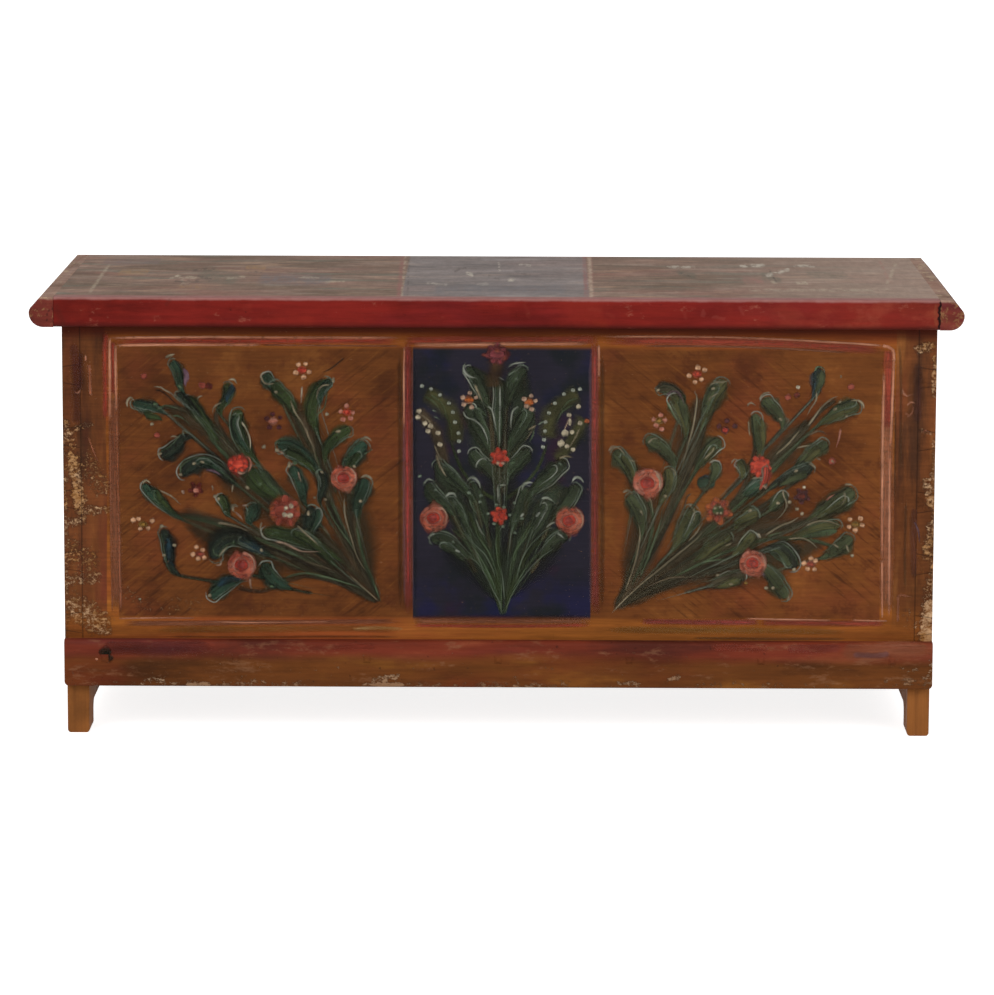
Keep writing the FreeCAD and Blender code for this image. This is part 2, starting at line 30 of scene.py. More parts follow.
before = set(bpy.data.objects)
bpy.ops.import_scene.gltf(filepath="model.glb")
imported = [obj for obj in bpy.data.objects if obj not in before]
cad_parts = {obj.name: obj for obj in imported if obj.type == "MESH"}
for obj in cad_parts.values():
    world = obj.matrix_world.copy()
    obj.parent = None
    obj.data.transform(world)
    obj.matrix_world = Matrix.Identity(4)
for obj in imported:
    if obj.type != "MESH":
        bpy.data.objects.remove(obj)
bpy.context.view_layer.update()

# Where the camera stands and how it is turned
CAMERA_AT = Vector((0.0416, -6.8257, 1.3741))
CAMERA_PITCH = math.radians(8.96)
CAMERA_YAW = math.radians(0.35)
CAMERA_ROLL = math.radians(-0.18)
CAMERA_LENS = 171.62
SENSOR_WIDTH = 36.0
PICTURE_WIDTH = 994
PICTURE_MIDDLE = (497.0, 497.5)
FOCAL = CAMERA_LENS / SENSOR_WIDTH * PICTURE_WIDTH

# Places on the chest, from its own pieces
wall_low, wall_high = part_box("front_lower_board")
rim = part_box("front_upper_board")[1].z
lid_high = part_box("lid_front_board")[1]
lip_low, lip_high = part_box("lid_front_lip")
skirting_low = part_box("front_skirting")[0]
FRONT = wall_low.y
LEFT, RIGHT = wall_low.x, wall_high.x
WALL = wall_high.y - wall_low.y
PIXEL = (FRONT - CAMERA_AT.y) / FOCAL
FORESHORTENED = (CAMERA_AT.z - lid_high.z) / (lid_high.y - CAMERA_AT.y)

# Coats of paint on the front, in metres: the first stroke's height, what each one adds, how far its
# sides go into the board, and about how long a step along it is
FIRST_COAT = 0.00010
COAT = 0.000003
SUNK = 0.0002
STEP = 0.0024

# The fewest and most steps of a stroke, and how many strokes share a mesh while they are made
FEWEST, MOST = 6, 30
BATCH = 16

# How much a stroke's width wavers, and its ripple; how many rows lie across a fine, a usual and a wide one
WAVER = 0.16
RIPPLE = 0.08
FINE_ROWS, ROWS, WIDE_ROWS = 2, 4, 6

# A leaf's tail, as a share of its length, and the widths from which leaves get a stalk and veins
TAIL = 0.34
STALKED = 10.0
VEINED = 8.0

# The brush's loads: the two hues that lie side by side in a stroke
HUES = {
    "cream": ("6b604b", "8d8068"),
    "pale": ("36442f", "54654a"),
    "sage": ("27301f", "3b4a32"),
    "olive": ("241f13", "383123"),
    "taupe": ("382e21", "594b39"),
    "brown": ("2c1a0e", "47301a"),
    "dark": ("17130c", "261f14"),
    "green": ("1b2612", "2c381c"),
    "teal": ("15241a", "22382c"),
    "moss": ("2c2c15", "434225"),
    "fern": ("252b19", "3a412a"),
    "bark": ("33291b", "4b3d2c"),
    "pine": ("1b2419", "2b3626"),
    "reed": ("4a5547", "6a7566"),
    "amber": ("9a4a22", "b5652f"),
    "berry": ("521f24", "74343a"),
    "coral": ("8c4232", "a65a45"),
    "petal": ("9a7052", "be9270"),
    "frost": ("6c7165", "93968a"),
    "blue": ("0d1a1b", "18303a"),
    "night": ("0a0f0c", "141f1a"),
    "red": ("80241d", "9a352a"),
    "scarlet": ("8e2a20", "b54432"),
    "maroon": ("3f110e", "5e2019"),
    "rose": ("6c2d22", "894033"),
    "blush": ("7c4033", "9a5d4c"),
    "pink": ("8c4f40", "aa7260"),
    "shell": ("86695a", "a98d76"),
    "orange": ("6f331a", "8b4726"),
    "lilac": ("4c3642", "6a505a"),
    "plum": ("301318", "4a1f25"),
    "gold": ("5f4519", "80602c"),
    "white": ("8a7f6b", "b2a68d"),
    "sand": ("a5763f", "c29a62"),
    "salmon": ("a4674c", "bf8467"),
    "clay": ("6e3d29", "7c4a33"),
    "dull": ("80492f", "92583f"),
    "brick": ("7a2c20", "8e3728"),
    "crimson": ("6c2723", "883733"),
    "shade": ("262114", "2a2618"),
    "deep": ("0f120c", "0f120c"),
    "dusk": ("0d1113", "0f1414"),
}

# How a stroke widens and narrows along its way, how blunt its ends are, its share of the written width
# and how far it covers what is under it. The soft ones thin out further in from their edges, and the
# ragged ones waver most.
STROKES = {
    "line": (0.14, 0.50, 0.60, 0.98, 0.85),
    "vein": (0.20, 0.60, 0.60, 1.0, 0.60),
    "stem": (0.04, 0.20, 0.60, 1.55, 0.90),
    "leaf": (0.26, 0.74, 0.55, 1.34, 0.97),
    "under": (0.26, 0.74, 0.50, 1.70, 0.32),
    "cap": (0.40, 0.55, 0.55, 1.05, 0.90),
    "dab": (0.50, 0.50, 0.35, 1.15, 0.95),
    "round": (0.50, 0.50, 0.32, 1.12, 1.0),
    "band": (0.004, 0.004, 0.30, 1.35, 0.85),
    "haze": (0.15, 0.15, 0.50, 1.50, 0.36),
    "mass": (0.10, 0.10, 0.50, 1.2, 0.80),
    "wash": (0.45, 0.45, 0.50, 1.0, 0.70),
}
SOFT = ("under", "band", "haze", "wash", "mass")
WIDE = ("leaf", "wash", "round", "under", "mass")
FINE = ("line", "vein")
RAGGED = ("leaf", "mass", "under", "round")

# What is left of the ornament on the lid: its hue, half its width in pixels of the photograph, how much of
# it is left, and the two ends of the mark in the photograph
HUES_OF_THE_LID = {
    "cream": "c3b39b",
    "white": "d2c7b6",
    "pink": "ab7c70",
    "rose": "9c6a62",
    "ochre": "a8825a",
    "moss": "6d6b5b",
    "slate": "77767a",
    "dark": "4f443c",
    "mauve": "86706d",
}
LID_MARKS = (
    ("rose", 3.0, 0.80, (403.0, 257), (399.0, 297)),
    ("cream", 1.6, 0.54, (405.4, 257), (402.0, 297)),
    ("dark", 1.2, 0.40, (409.4, 258), (407.4, 297)),
    ("rose", 2.6, 0.72, (584.6, 257), (586.4, 297)),
    ("pink", 3.0, 0.72, (589.4, 257), (591.8, 297)),
    ("cream", 2.4, 0.62, (589.0, 257), (591.6, 297)),
    ("cream", 2.2, 0.47, (108, 266), (91, 291)),
    ("mauve", 3.0, 0.64, (106, 262), (158, 262)),
    ("ochre", 3.4, 0.64, (122, 272), (146, 272)),
    ("ochre", 2.0, 0.48, (178, 287), (206, 287)),
    ("moss", 7.0, 0.64, (206, 274), (232, 279)),
    ("cream", 1.7, 0.70, (171, 278), (177, 276)),
    ("cream", 1.7, 0.70, (177, 276), (184, 280)),
    ("cream", 1.9, 0.70, (182, 284), (189, 284)),
    ("cream", 1.7, 0.70, (187, 277), (195, 278)),
    ("dark", 1.6, 0.64, (176, 281), (198, 281)),
    ("dark", 1.5, 0.56, (194, 270), (214, 269)),
    ("dark", 1.5, 0.56, (199, 275), (210, 280)),
    ("ochre", 2.4, 0.72, (248, 267), (264, 268)),
    ("dark", 1.4, 0.56, (246, 271), (262, 272)),
    ("slate", 6.0, 0.56, (264, 279), (326, 280)),
    ("cream", 1.6, 0.54, (228, 278), (244, 277)),
    ("cream", 1.5, 0.47, (300, 277), (318, 278)),
    ("cream", 1.5, 0.47, (326, 282), (344, 281)),
    ("white", 1.8, 0.70, (467, 273), (472, 275)),
    ("white", 2.0, 0.78, (509, 280), (514, 280)),
    ("white", 1.4, 0.54, (499, 263), (500, 271)),
    ("white", 1.6, 0.54, (520, 265), (530, 265)),
    ("white", 1.5, 0.47, (478, 284), (487, 284)),
    ("white", 1.5, 0.39, (428, 283), (446, 285)),
    ("dark", 1.5, 0.48, (455, 271), (466, 268)),
    ("dark", 1.5, 0.40, (489, 276), (499, 279)),
    ("dark", 1.5, 0.40, (516, 272), (530, 275)),
    ("slate", 6.0, 0.48, (440, 289), (560, 289)),
    ("white", 1.7, 0.62, (668, 267), (694, 267)),
    ("moss", 3.6, 0.64, (680, 273), (694, 276)),
    ("dark", 1.5, 0.48, (672, 270), (690, 276)),
    ("white", 2.0, 0.78, (741, 266), (764, 265.6)),
    ("white", 1.8, 0.70, (795, 266), (813, 266)),
    ("moss", 4.0, 0.56, (764, 276), (778, 280)),
    ("dark", 1.6, 0.64, (770, 270), (776, 282)),
    ("white", 1.9, 0.78, (767, 275.6), (776, 273)),
    ("white", 1.9, 0.78, (776, 273), (788, 269.6)),
    ("pink", 4.0, 0.64, (746, 280), (760, 281)),
    ("cream", 1.8, 0.70, (797, 283), (806, 283)),
    ("cream", 1.6, 0.62, (772, 282), (776, 283)),
    ("moss", 4.0, 0.40, (810, 274), (844, 275)),
    ("cream", 1.7, 0.47, (750, 290), (888, 290)),
    ("pink", 2.0, 0.56, (880, 262), (889, 281)),
    ("cream", 1.6, 0.47, (896, 264), (887, 284)),
)

# Scuffs and cracks in the lip and the batten ends, in the same way
LIP_MARKS = (
    ("9c4a3c", 2.4, 0.11, (684, 313), (686, 317)),
    ("a4564a", 2.2, 0.14, (703, 311), (703, 316)),
    ("a4564a", 2.2, 0.13, (714, 317), (724, 319)),
    ("a4564a", 2.2, 0.14, (741, 308), (743, 314)),
    ("9c4a3c", 2.4, 0.13, (779, 314), (784, 318)),
    ("9c4a3c", 2.4, 0.11, (859, 311), (863, 314)),
    ("9c4a3c", 2.2, 0.11, (869, 319), (868, 314)),
    ("94402f", 2.9, 0.11, (590, 309), (600, 311)),
    ("94402f", 2.9, 0.11, (608, 314), (613, 316)),
    ("8c3a2c", 2.6, 0.11, (525, 305), (528, 316)),
    ("8c3a2c", 2.6, 0.11, (154, 316), (160, 319)),
    ("8c3a2c", 2.6, 0.09, (244, 308), (250, 306)),
    ("8f3a1e", 6.6, 0.13, (905, 309), (932, 311)),
    ("8a3418", 4.4, 0.11, (596, 322), (604, 325)),
    ("4a1a12", 4.0, 0.33, (56, 306), (62, 322)),
    ("4a1a12", 2.6, 0.33, (166, 304), (170, 301)),
    ("8a4a30", 2.4, 0.35, (936, 306), (936, 324)),
    ("190807", 1.5, 1.0, (939.4, 303), (940.6, 310)),
    ("190807", 1.6, 1.0, (940.6, 310), (938.8, 318)),
    ("190807", 1.4, 1.0, (938.8, 318), (940.0, 328)),
)

# Places where the paint is worn away: how far, half the width in pixels, and the two ends
FRONT_WEAR = (
    (0.18, 10.5, (72, 456), (80, 506)),
    (0.11, 18.8, (86, 464), (102, 486)),
    (0.14, 7.8, (80, 511), (106, 509)),
    (0.14, 7.8, (67, 523), (83, 520)),
    (0.13, 11.0, (69, 580), (96, 577)),
    (0.14, 23.5, (76, 606), (98, 622)),
    (0.14, 7.8, (90, 629), (109, 631)),
    (0.13, 7.8, (66, 424), (72, 446)),
    (0.12, 6.2, (72, 430), (90, 424)),
    (0.11, 21.9, (70, 548), (88, 562)),
    (0.12, 6.2, (64, 430), (65, 636)),
    (0.07, 11.2, (126, 592), (146, 606)),
    (0.06, 17.5, (170, 606), (196, 604)),
    (0.16, 8.1, (918, 350), (932, 346)),
    (0.15, 5.4, (935, 358), (935, 395)),
    (0.10, 4.1, (922, 431), (932, 434)),
    (0.17, 8.1, (927, 482), (932, 504)),
    (0.16, 8.1, (931, 525), (927, 556)),
    (0.13, 6.8, (929, 580), (926, 596)),
    (0.22, 12.2, (930, 606), (926, 638)),
    (0.13, 5.4, (935, 440), (932, 640)),
    (0.07, 10.8, (906, 612), (914, 626)),
)
SKIRTING_WEAR = (
    (0.16, 6.0, (374, 680), (396, 676)),
    (0.12, 4.0, (366, 684), (402, 685)),
    (0.10, 4.0, (150, 680), (164, 681)),
    (0.10, 4.0, (190, 684), (208, 684)),
    (0.12, 4.0, (620, 683), (642, 684)),
    (0.14, 4.0, (666, 681), (678, 677)),
    (0.07, 4.0, (690, 684), (880, 686)),
    (0.14, 8.0, (886, 684), (928, 682)),
    (0.12, 6.0, (903, 668), (916, 672)),
    (0.13, 4.0, (930, 660), (930, 688)),
    (0.06, 5.0, (70, 684), (140, 686)),
)

# The sprays, in the order in which they were painted. Their places and widths are in pixels of the
# photograph: a kind of stroke, its hue, its width and the points of its way, or a spot's radius and middle.
LEFT_ROOT = (381, 604)
CENTRE_ROOT = (502, 616)
RIGHT_ROOT = (612, 613)

FRAME_LINES = (
    # Left field: the top, the left side and the foot
    ("band", "brick", 7.0, (112, 341.5), (190, 341), (260, 341), (330, 340.5), (402, 341.5)),
    ("band", "salmon", 2.4, (108.5, 338), (180, 337.2), (280, 337.6), (402, 337.8)),
    ("band", "salmon", 2.6, (114.5, 345.2), (160, 344.6), (215, 344.8), (262, 344.6)),
    ("band", "clay", 1.8, (262, 345), (320, 345.6), (402, 346)),
    ("band", "brick", 5.0, (105.6, 332), (105.4, 370), (105.6, 420)),
    ("band", "brick", 5.0, (112.8, 341), (112.8, 366), (113.2, 396)),
    ("band", "clay", 10.0, (113.4, 388), (114, 450), (115.4, 530), (117, 615)),
    ("band", "salmon", 2.6, (109.6, 337), (109.6, 370), (109.9, 420)),
    ("band", "dull", 1.8, (109.9, 420), (110.8, 500), (111.6, 560), (112.4, 614)),
    ("band", "salmon", 2.6, (115.6, 344), (115.8, 380), (116.4, 412)),
    ("band", "dull", 2.4, (116.4, 412), (118.2, 500), (120.6, 614)),
    ("band", "clay", 5.0, (122, 623), (200, 623), (300, 622), (402, 621)),
    ("band", "salmon", 1.6, (118, 618.5), (150, 618), (196, 618)),
    ("band", "salmon", 1.4, (210, 622), (270, 622.5), (330, 621.5)),
    ("haze", "gold", 6.0, (150, 630), (240, 629), (330, 628.6), (404, 629)),
    ("haze", "sand", 3.0, (352, 629), (376, 628), (404, 629)),
    ("haze", "dark", 1.8, (160, 636.5), (240, 637), (330, 636.4), (404, 637)),

    # Middle field
    ("band", "brick", 7.4, (402, 340.6), (500, 340.4), (600, 340)),
    ("band", "salmon", 3.2, (412, 344.4), (460, 344.6), (520, 344.0), (590, 343.6)),
    ("haze", "dark", 4.0, (399.6, 350), (400, 420), (400, 520), (400.6, 612)),
    ("band", "crimson", 6.4, (408, 340), (407.8, 400), (407.6, 500), (408.4, 616)),
    ("haze", "lilac", 2.6, (404.2, 350), (403.8, 430), (403.8, 520), (404.4, 612)),
    ("band", "salmon", 1.8, (404.2, 346), (403.8, 380), (403.8, 430)),
    ("haze", "lilac", 2.4, (412, 346), (412, 430), (412.2, 520), (412.6, 614)),
    ("haze", "dusk", 3.4, (415, 350), (415, 430), (415, 520), (415.2, 612)),
    ("band", "clay", 5.0, (412, 621), (460, 621.4), (530, 621.4), (592, 621)),
    ("band", "brick", 3.4, (412, 625), (460, 626), (530, 626), (592, 625)),
    ("haze", "plum", 4.0, (412, 617), (460, 617.4), (530, 617.4), (592, 617)),
    ("haze", "dark", 4.4, (602, 350), (602, 430), (602, 520), (602, 612)),
    ("band", "crimson", 7.0, (595.4, 338), (595, 420), (595, 520), (595.6, 616)),
    ("haze", "lilac", 2.8, (590.8, 345), (590.5, 430), (590.5, 520), (591, 616)),
    ("band", "salmon", 2.2, (599, 345), (599, 360), (599, 377)),

    # Right field
    ("band", "brick", 8.0, (600, 340.5), (700, 341.4), (760, 342.8), (820, 345.8), (884, 349.6)),
    ("band", "salmon", 2.0, (600, 336.4), (700, 336.9), (780, 339.2), (850, 343.2), (884, 346)),
    ("band", "clay", 2.2, (640, 346.2), (720, 346.4), (780, 348.6), (850, 352.6)),
    ("band", "dull", 12.0, (888.4, 392), (887.6, 450), (886.6, 540), (886.6, 614)),
    ("band", "brick", 9.0, (888.8, 349), (888.6, 380), (888.2, 430)),
    ("band", "salmon", 3.0, (882, 345.6), (889, 347.4), (893.4, 351.4), (894, 362)),
    ("band", "salmon", 2.6, (893.8, 356), (892.4, 400), (890.0, 450)),
    ("band", "salmon", 2.4, (890.0, 450), (889.4, 520), (889.0, 618)),
    ("band", "salmon", 2.4, (884, 370), (883.0, 420), (882, 500), (881.8, 560)),
    ("band", "salmon", 1.6, (881.8, 560), (882, 590), (882.2, 618)),
    ("haze", "brown", 1.8, (895.4, 410), (895.0, 450), (894.6, 500)),
    ("band", "crimson", 5.0, (640, 621.5), (700, 622), (760, 622.4)),
    ("band", "brick", 5.6, (760, 622.4), (820, 623), (886, 623.4)),
    ("band", "salmon", 1.8, (745, 618.6), (790, 619.6), (832, 620.4)),
    ("band", "salmon", 1.6, (852, 620), (870, 620.6), (888, 620.8)),
    ("haze", "gold", 6.0, (604, 630), (680, 630), (760, 631), (850, 632)),
    ("haze", "olive", 2.4, (690, 638), (760, 638.6), (850, 639)),

    # Marks on the stiles
    ("band", "dull", 3.4, (89.0, 364), (89.8, 380), (90.4, 396)),
    ("dab", "salmon", 2.6, (85.4, 355), (85.8, 361)),
    ("line", "salmon", 3.0, (74, 391), (78, 393), (82, 386)),
    ("haze", "plum", 8.0, (74, 342), (75, 380), (76, 426)),
    ("haze", "plum", 5.0, (81, 352), (81, 372), (80, 392)),
    ("line", "dull", 2.6, (88, 436), (93, 450), (100, 466)),
    ("vein", "salmon", 3.2, (902, 388), (903.6, 393.4), (908, 396), (913, 393)),
    ("vein", "salmon", 2.8, (907, 406), (911, 402), (916, 404)),
    ("vein", "dull", 3.2, (906, 412), (909, 416), (913, 410), (912, 404)),
    ("line", "dull", 3.0, (922, 433), (926, 430.6), (932, 434)),
    ("line", "lilac", 2.6, (914, 521), (918, 530), (920, 544)),
    ("haze", "plum", 7.0, (917, 362), (918, 392), (917, 424)),
    ("haze", "brown", 2.6, (900, 344), (901, 400), (900, 470)),
    ("haze", "plum", 6.0, (914, 506), (913, 540), (914, 580)),
    ("haze", "brown", 2.4, (906, 500), (905, 545), (905, 590)),
    ("band", "dull", 2.2, (898, 595), (898, 608), (897.6, 622)),
    ("line", "dull", 2.8, (898, 594.6), (904, 595.6), (912, 597)),
)

SKIRTING_MARKS = (
    ("haze", "plum", 11.0, (100, 649), (130, 648.6), (165, 648.4), (215, 647.6)),
    ("haze", "brick", 5.0, (330, 647), (352, 646.6), (376, 647.4)),
    ("haze", "brick", 6.0, (712, 648), (742, 648), (770, 648.6)),
    ("haze", "crimson", 7.0, (786, 648.6), (812, 649), (842, 648.4)),
    ("haze", "dull", 14.0, (840, 652), (868, 652.6), (892, 651), (932, 651)),
    ("haze", "lilac", 5.0, (852, 655), (874, 655.6), (890, 654)),
    ("disc", "dark", 7.0, 105, 652, "wash"),
    ("disc", "dark", 6.0, 108, 658, "wash"),
    ("disc", "deep", 4.6, 106, 655, "wash"),
    ("dab", "salmon", 2.8, (95, 659), (98, 659.4)),
)

LEFT_SPRAY = (
    ("wash", "shade", 62, (205, 455), (250, 490), (300, 525), (350, 560)),
    ("wash", "shade", 54, (180, 520), (240, 550), (300, 560), (350, 575)),
    ("wash", "shade", 40, (165, 405), (205, 430), (240, 465)),
    ("wash", "shade", 40, (290, 395), (310, 440), (335, 500)),
    ("wash", "shade", 44, (345, 450), (355, 510), (372, 590)),

    ("mass", "bark", 16, (182, 408), (206, 424), (232, 450), (262, 488), (300, 522), (340, 556),
     (374, 596)),
    ("mass", "bark", 15, (300, 410), (308, 440), (320, 476), (336, 520), (356, 562), (379, 600)),
    ("mass", "bark", 13, (352, 470), (352, 506), (356, 546), (366, 576), (380, 602)),
    ("mass", "bark", 17, (176, 512), (216, 524), (258, 538), (304, 556), (346, 580), (378, 602)),
    ("mass", "shade", 12, (284, 562), (318, 570), (350, 584), (378, 602)),

    # Stems, from the twigs to the root at the lower right
    ("stem", "olive", 4.0, (155, 411), (168, 407), (182, 409), (196, 418), (212, 434), (232, 454),
     (252, 470)),
    ("stem", "olive", 5.0, (182, 402), (194, 412), (204, 424), (214, 437), (228, 452), (246, 472),
     (264, 492)),
    ("stem", "sage", 3.4, (207, 432), (219, 448), (236, 466), (256, 486), (282, 508), (306, 526)),
    ("stem", "olive", 4.0, (221, 405), (216, 416), (222, 432), (238, 452), (258, 476)),
    ("stem", "taupe", 3.0, (250, 450), (262, 468), (284, 492), (310, 514), (334, 540)),
    ("stem", "olive", 4.5, (264, 491), (288, 509), (312, 528), (336, 551), (360, 579), (380, 602)),
    ("stem", "olive", 4.0, (288, 404), (297, 422), (309, 443), (319, 470), (330, 505), (346, 541),
     (366, 576), (382, 604)),
    ("stem", "olive", 4.0, (316, 424), (317, 445), (322, 472), (333, 508), (349, 545), (370, 582)),
    ("stem", "sage", 3.0, (306, 436), (316, 458), (324, 484), (336, 514), (352, 546), (371, 578)),
    ("stem", "olive", 4.0, (352, 466), (350, 486), (350, 512), (354, 540), (364, 572), (380, 602)),
    ("stem", "sage", 3.0, (361, 505), (358, 524), (361, 548), (369, 574), (381, 602)),
    ("stem", "olive", 4.0, (171, 513), (198, 517), (226, 523), (252, 533), (284, 546), (316, 560),
     (350, 581), (380, 604)),
    ("stem", "sage", 3.0, (178, 516), (206, 521), (236, 531), (268, 543), (306, 560), (346, 582)),
    ("stem", "olive", 4.0, (262, 549), (286, 556), (316, 566), (346, 580), (378, 602)),
    ("stem", "olive", 3.6, (276, 584), (300, 576), (328, 580), (354, 590), (380, 605)),
    ("stem", "brown", 4.0, (236, 588), (262, 591), (284, 582), (310, 575)),
    ("stem", "brown", 3.0, (326, 549), (344, 565), (364, 586), (380, 603)),
    ("stem", "dark", 2.6, (240, 474), (262, 496), (290, 518), (320, 544), (350, 574)),
    ("stem", "dark", 2.4, (312, 450), (322, 486), (338, 522), (358, 558), (378, 596)),
    ("stem", "dark", 2.4, (210, 527), (246, 539), (280, 552), (318, 570), (356, 592)),

    # Leaf by leaf, the upper left branch
    ("leaf", "teal", 12, (171, 359), (176, 368), (179, 377), (181, 387)),
    ("leaf", "lilac", 5, (183, 368), (187, 376), (185, 382)),
    ("cap", "cream", 4.0, (165, 358), (170, 355.5), (175, 354)),
    ("dab", "pale", 4, (178, 385), (182, 388)),
    ("leaf", "teal", 13, (131, 402), (142, 405), (152, 407), (160, 410)),
    ("leaf", "green", 8, (143, 412), (151, 416), (158, 418)),
    ("cap", "cream", 3.2, (128, 408), (127, 402), (131, 397.5), (135, 402)),
    ("dab", "pale", 4, (153, 404), (158, 403.5)),
    ("line", "cream", 2.6, (153, 387), (160, 387), (165, 390), (172, 394), (178, 401), (188, 409)),
    ("line", "dark", 2.6, (154, 390), (161, 391), (168, 396), (175, 403), (184, 410)),
    ("line", "pale", 2.4, (155, 411), (165, 405.5), (172, 407), (180, 408.5)),
    ("cap", "cream", 2.8, (203, 396), (198.5, 397), (197, 402), (199, 408)),
    ("line", "pale", 2.2, (172, 416), (178, 416), (185, 420), (191, 425)),
    ("leaf", "green", 13, (186, 396), (193, 404), (202, 416), (212, 432)),
    ("leaf", "night", 9, (176, 392), (186, 401), (196, 412)),
    ("line", "pale", 2.6, (190, 410), (200, 419), (210, 431), (218, 443)),
    ("line", "pale", 2.4, (213, 440), (218, 448), (224, 455)),
    ("disc", "cream", 2.0, 152, 424),
    ("leaf", "night", 17, (184, 438), (177, 446), (168, 453), (160, 457)),
    ("line", "cream", 2.4, (170, 437), (174, 436), (179, 438)),
    ("dab", "cream", 3.4, (157, 454), (162, 453)),
    ("leaf", "green", 12, (226, 382), (228, 390), (226, 399), (221, 408)),
    ("leaf", "blue", 7, (232, 384), (231, 390), (227, 398)),
    ("cap", "cream", 3.2, (228, 380), (234, 379.5), (237, 384)),
    ("line", "cream", 2.6, (222, 402.5), (216.5, 405), (213, 409), (213, 414)),
    ("leaf", "green", 18, (241, 408), (237, 420), (239, 434), (247, 448), (252, 456)),
    ("leaf", "teal", 9, (236, 414), (234, 424), (238, 436), (244, 446)),
    ("line", "pale", 3.0, (243, 413), (238, 414.5), (235, 420)),
    ("line", "white", 2.8, (241, 421), (245, 427), (249, 435), (250.5, 443), (250, 450)),

    # The upper middle branch
    ("leaf", "teal", 15, (263, 374), (268, 380), (274, 388)),
    ("leaf", "green", 16, (271, 382), (279, 391), (287, 399), (292, 408)),
    ("cap", "cream", 2.8, (264, 371), (261, 375.5), (264, 382.5), (270, 384), (275, 383)),
    ("dab", "cream", 3.6, (274, 392), (278, 392)),
    ("line", "cream", 2.6, (290, 399), (295, 412), (304, 426), (305.5, 436)),
    ("line", "white", 2.6, (302, 386), (301.5, 395), (301, 404)),
    ("line", "cream", 2.4, (306, 426), (308, 436), (313, 446), (316, 459), (321, 470)),
    ("leaf", "green", 17, (329, 378), (320, 388), (314, 400), (311, 413), (315, 426)),
    ("leaf", "teal", 10, (331, 379), (324, 388), (320, 398)),
    ("dab", "cream", 3.4, (333.5, 377), (333.5, 383)),
    ("line", "cream", 2.6, (330, 385), (323, 385.5), (318, 391), (316, 400)),
    ("line", "pale", 2.4, (327, 391), (326, 399), (324, 408), (317, 415), (314, 423)),
    ("disc", "cream", 2.0, 327, 414),
    ("leaf", "green", 15, (352, 429), (342, 433), (332, 441), (326, 452)),
    ("dab", "cream", 3.6, (335, 432), (341, 431)),
    ("leaf", "teal", 19, (368, 443), (359, 450), (352, 459), (347, 468)),
    ("leaf", "green", 9, (360, 452), (354, 460), (349, 470)),
    ("cap", "cream", 3.2, (360, 440), (366, 437), (372, 441)),
    ("line", "pale", 2.8, (372.5, 448), (368, 452), (363, 454.5)),
    ("line", "pale", 2.4, (345, 460), (351, 456)),
    ("dab", "cream", 3.2, (353, 465), (356, 468)),

    # Down the middle
    ("leaf", "teal", 18, (276, 446), (288, 446), (301, 453), (313, 466)),
    ("leaf", "green", 11, (284, 451), (298, 457), (310, 466)),
    ("line", "pale", 3.0, (274, 444), (280, 439.5), (288, 439)),
    ("dab", "cream", 4.4, (275, 449), (279, 452)),
    ("line", "shell", 2.8, (278, 450.5), (281, 452), (284.5, 454.5)),
    ("dab", "cream", 4.0, (262, 448.5), (265.5, 445)),
    ("leaf", "teal", 15, (290, 465), (296, 474), (301, 486), (303, 497)),
    ("dab", "cream", 4.2, (289.5, 461), (289, 468)),
    ("dab", "pale", 5.0, (293, 461), (297, 464)),
    ("line", "shell", 2.4, (298, 471), (299.5, 477), (301.5, 482)),
    ("leaf", "night", 11, (319, 470), (323, 478), (323, 488), (320, 497)),
    ("dab", "cream", 3.0, (320, 471), (324, 473)),
    ("leaf", "night", 19, (180, 478), (190, 466), (203, 462), (216, 467), (229, 478)),
    ("leaf", "teal", 9, (196, 462), (208, 463), (219, 470)),
    ("line", "pale", 2.4, (181, 474), (180.5, 466), (184.5, 460), (190, 458)),
    ("dab", "cream", 3.4, (192, 464), (196, 463)),
    ("dab", "cream", 3.4, (200, 461.5), (204.5, 462.5)),
    ("disc", "cream", 1.9, 180.5, 474.5),
    ("line", "lilac", 3.4, (206, 470), (214, 471), (222, 476)),
    ("leaf", "green", 18, (249, 468), (256, 478), (266, 488), (280, 497)),
    ("leaf", "sage", 8, (262, 470), (268, 480), (276, 490)),
    ("dab", "pale", 4.6, (257, 483), (262, 485)),
    ("dab", "cream", 4.0, (245.5, 486), (249.5, 489)),
    ("line", "cream", 2.8, (233, 484), (232.5, 488), (232, 493)),
    ("line", "cream", 2.0, (211.5, 485), (213, 488), (212.5, 491)),
    ("leaf", "teal", 13, (143, 482), (150, 492), (161, 503), (173, 513)),
    ("leaf", "green", 6, (156, 488), (162, 500), (171, 510)),
    ("line", "pale", 2.4, (155, 488), (154, 495), (157, 502), (168, 510)),
    ("line", "cream", 2.6, (159, 490), (171, 496), (181, 505)),
    ("cap", "cream", 3.2, (142, 484), (146, 480), (151, 483.5)),
    ("leaf", "green", 12, (219, 494), (224, 502), (227, 512)),
    ("dab", "cream", 3.8, (214, 498), (215.5, 494)),
    ("dab", "cream", 3.8, (218, 501), (219, 497)),
    ("leaf", "teal", 16, (252, 503), (254, 511), (250, 520)),
    ("line", "shell", 2.4, (242, 505.5), (248, 505)),
    ("cap", "cream", 4.8, (239, 507), (234, 505), (232.5, 509), (235, 513)),
    ("line", "shell", 2.8, (235, 512), (240, 516), (243, 520)),
    ("line", "cream", 2.8, (262, 521), (260.5, 528), (263.7, 536), (272, 540.5)),
    ("line", "cream", 3.4, (217, 522.5), (227, 524), (240, 527.5), (250, 532)),

    # The lower left and the root
    ("leaf", "night", 15, (163, 527), (167, 540), (169, 553), (172, 567)),
    ("leaf", "blue", 6, (168, 536), (169, 548), (170, 560)),
    ("disc", "cream", 2.2, 161.6, 526),
    ("disc", "cream", 2.0, 174.4, 545),
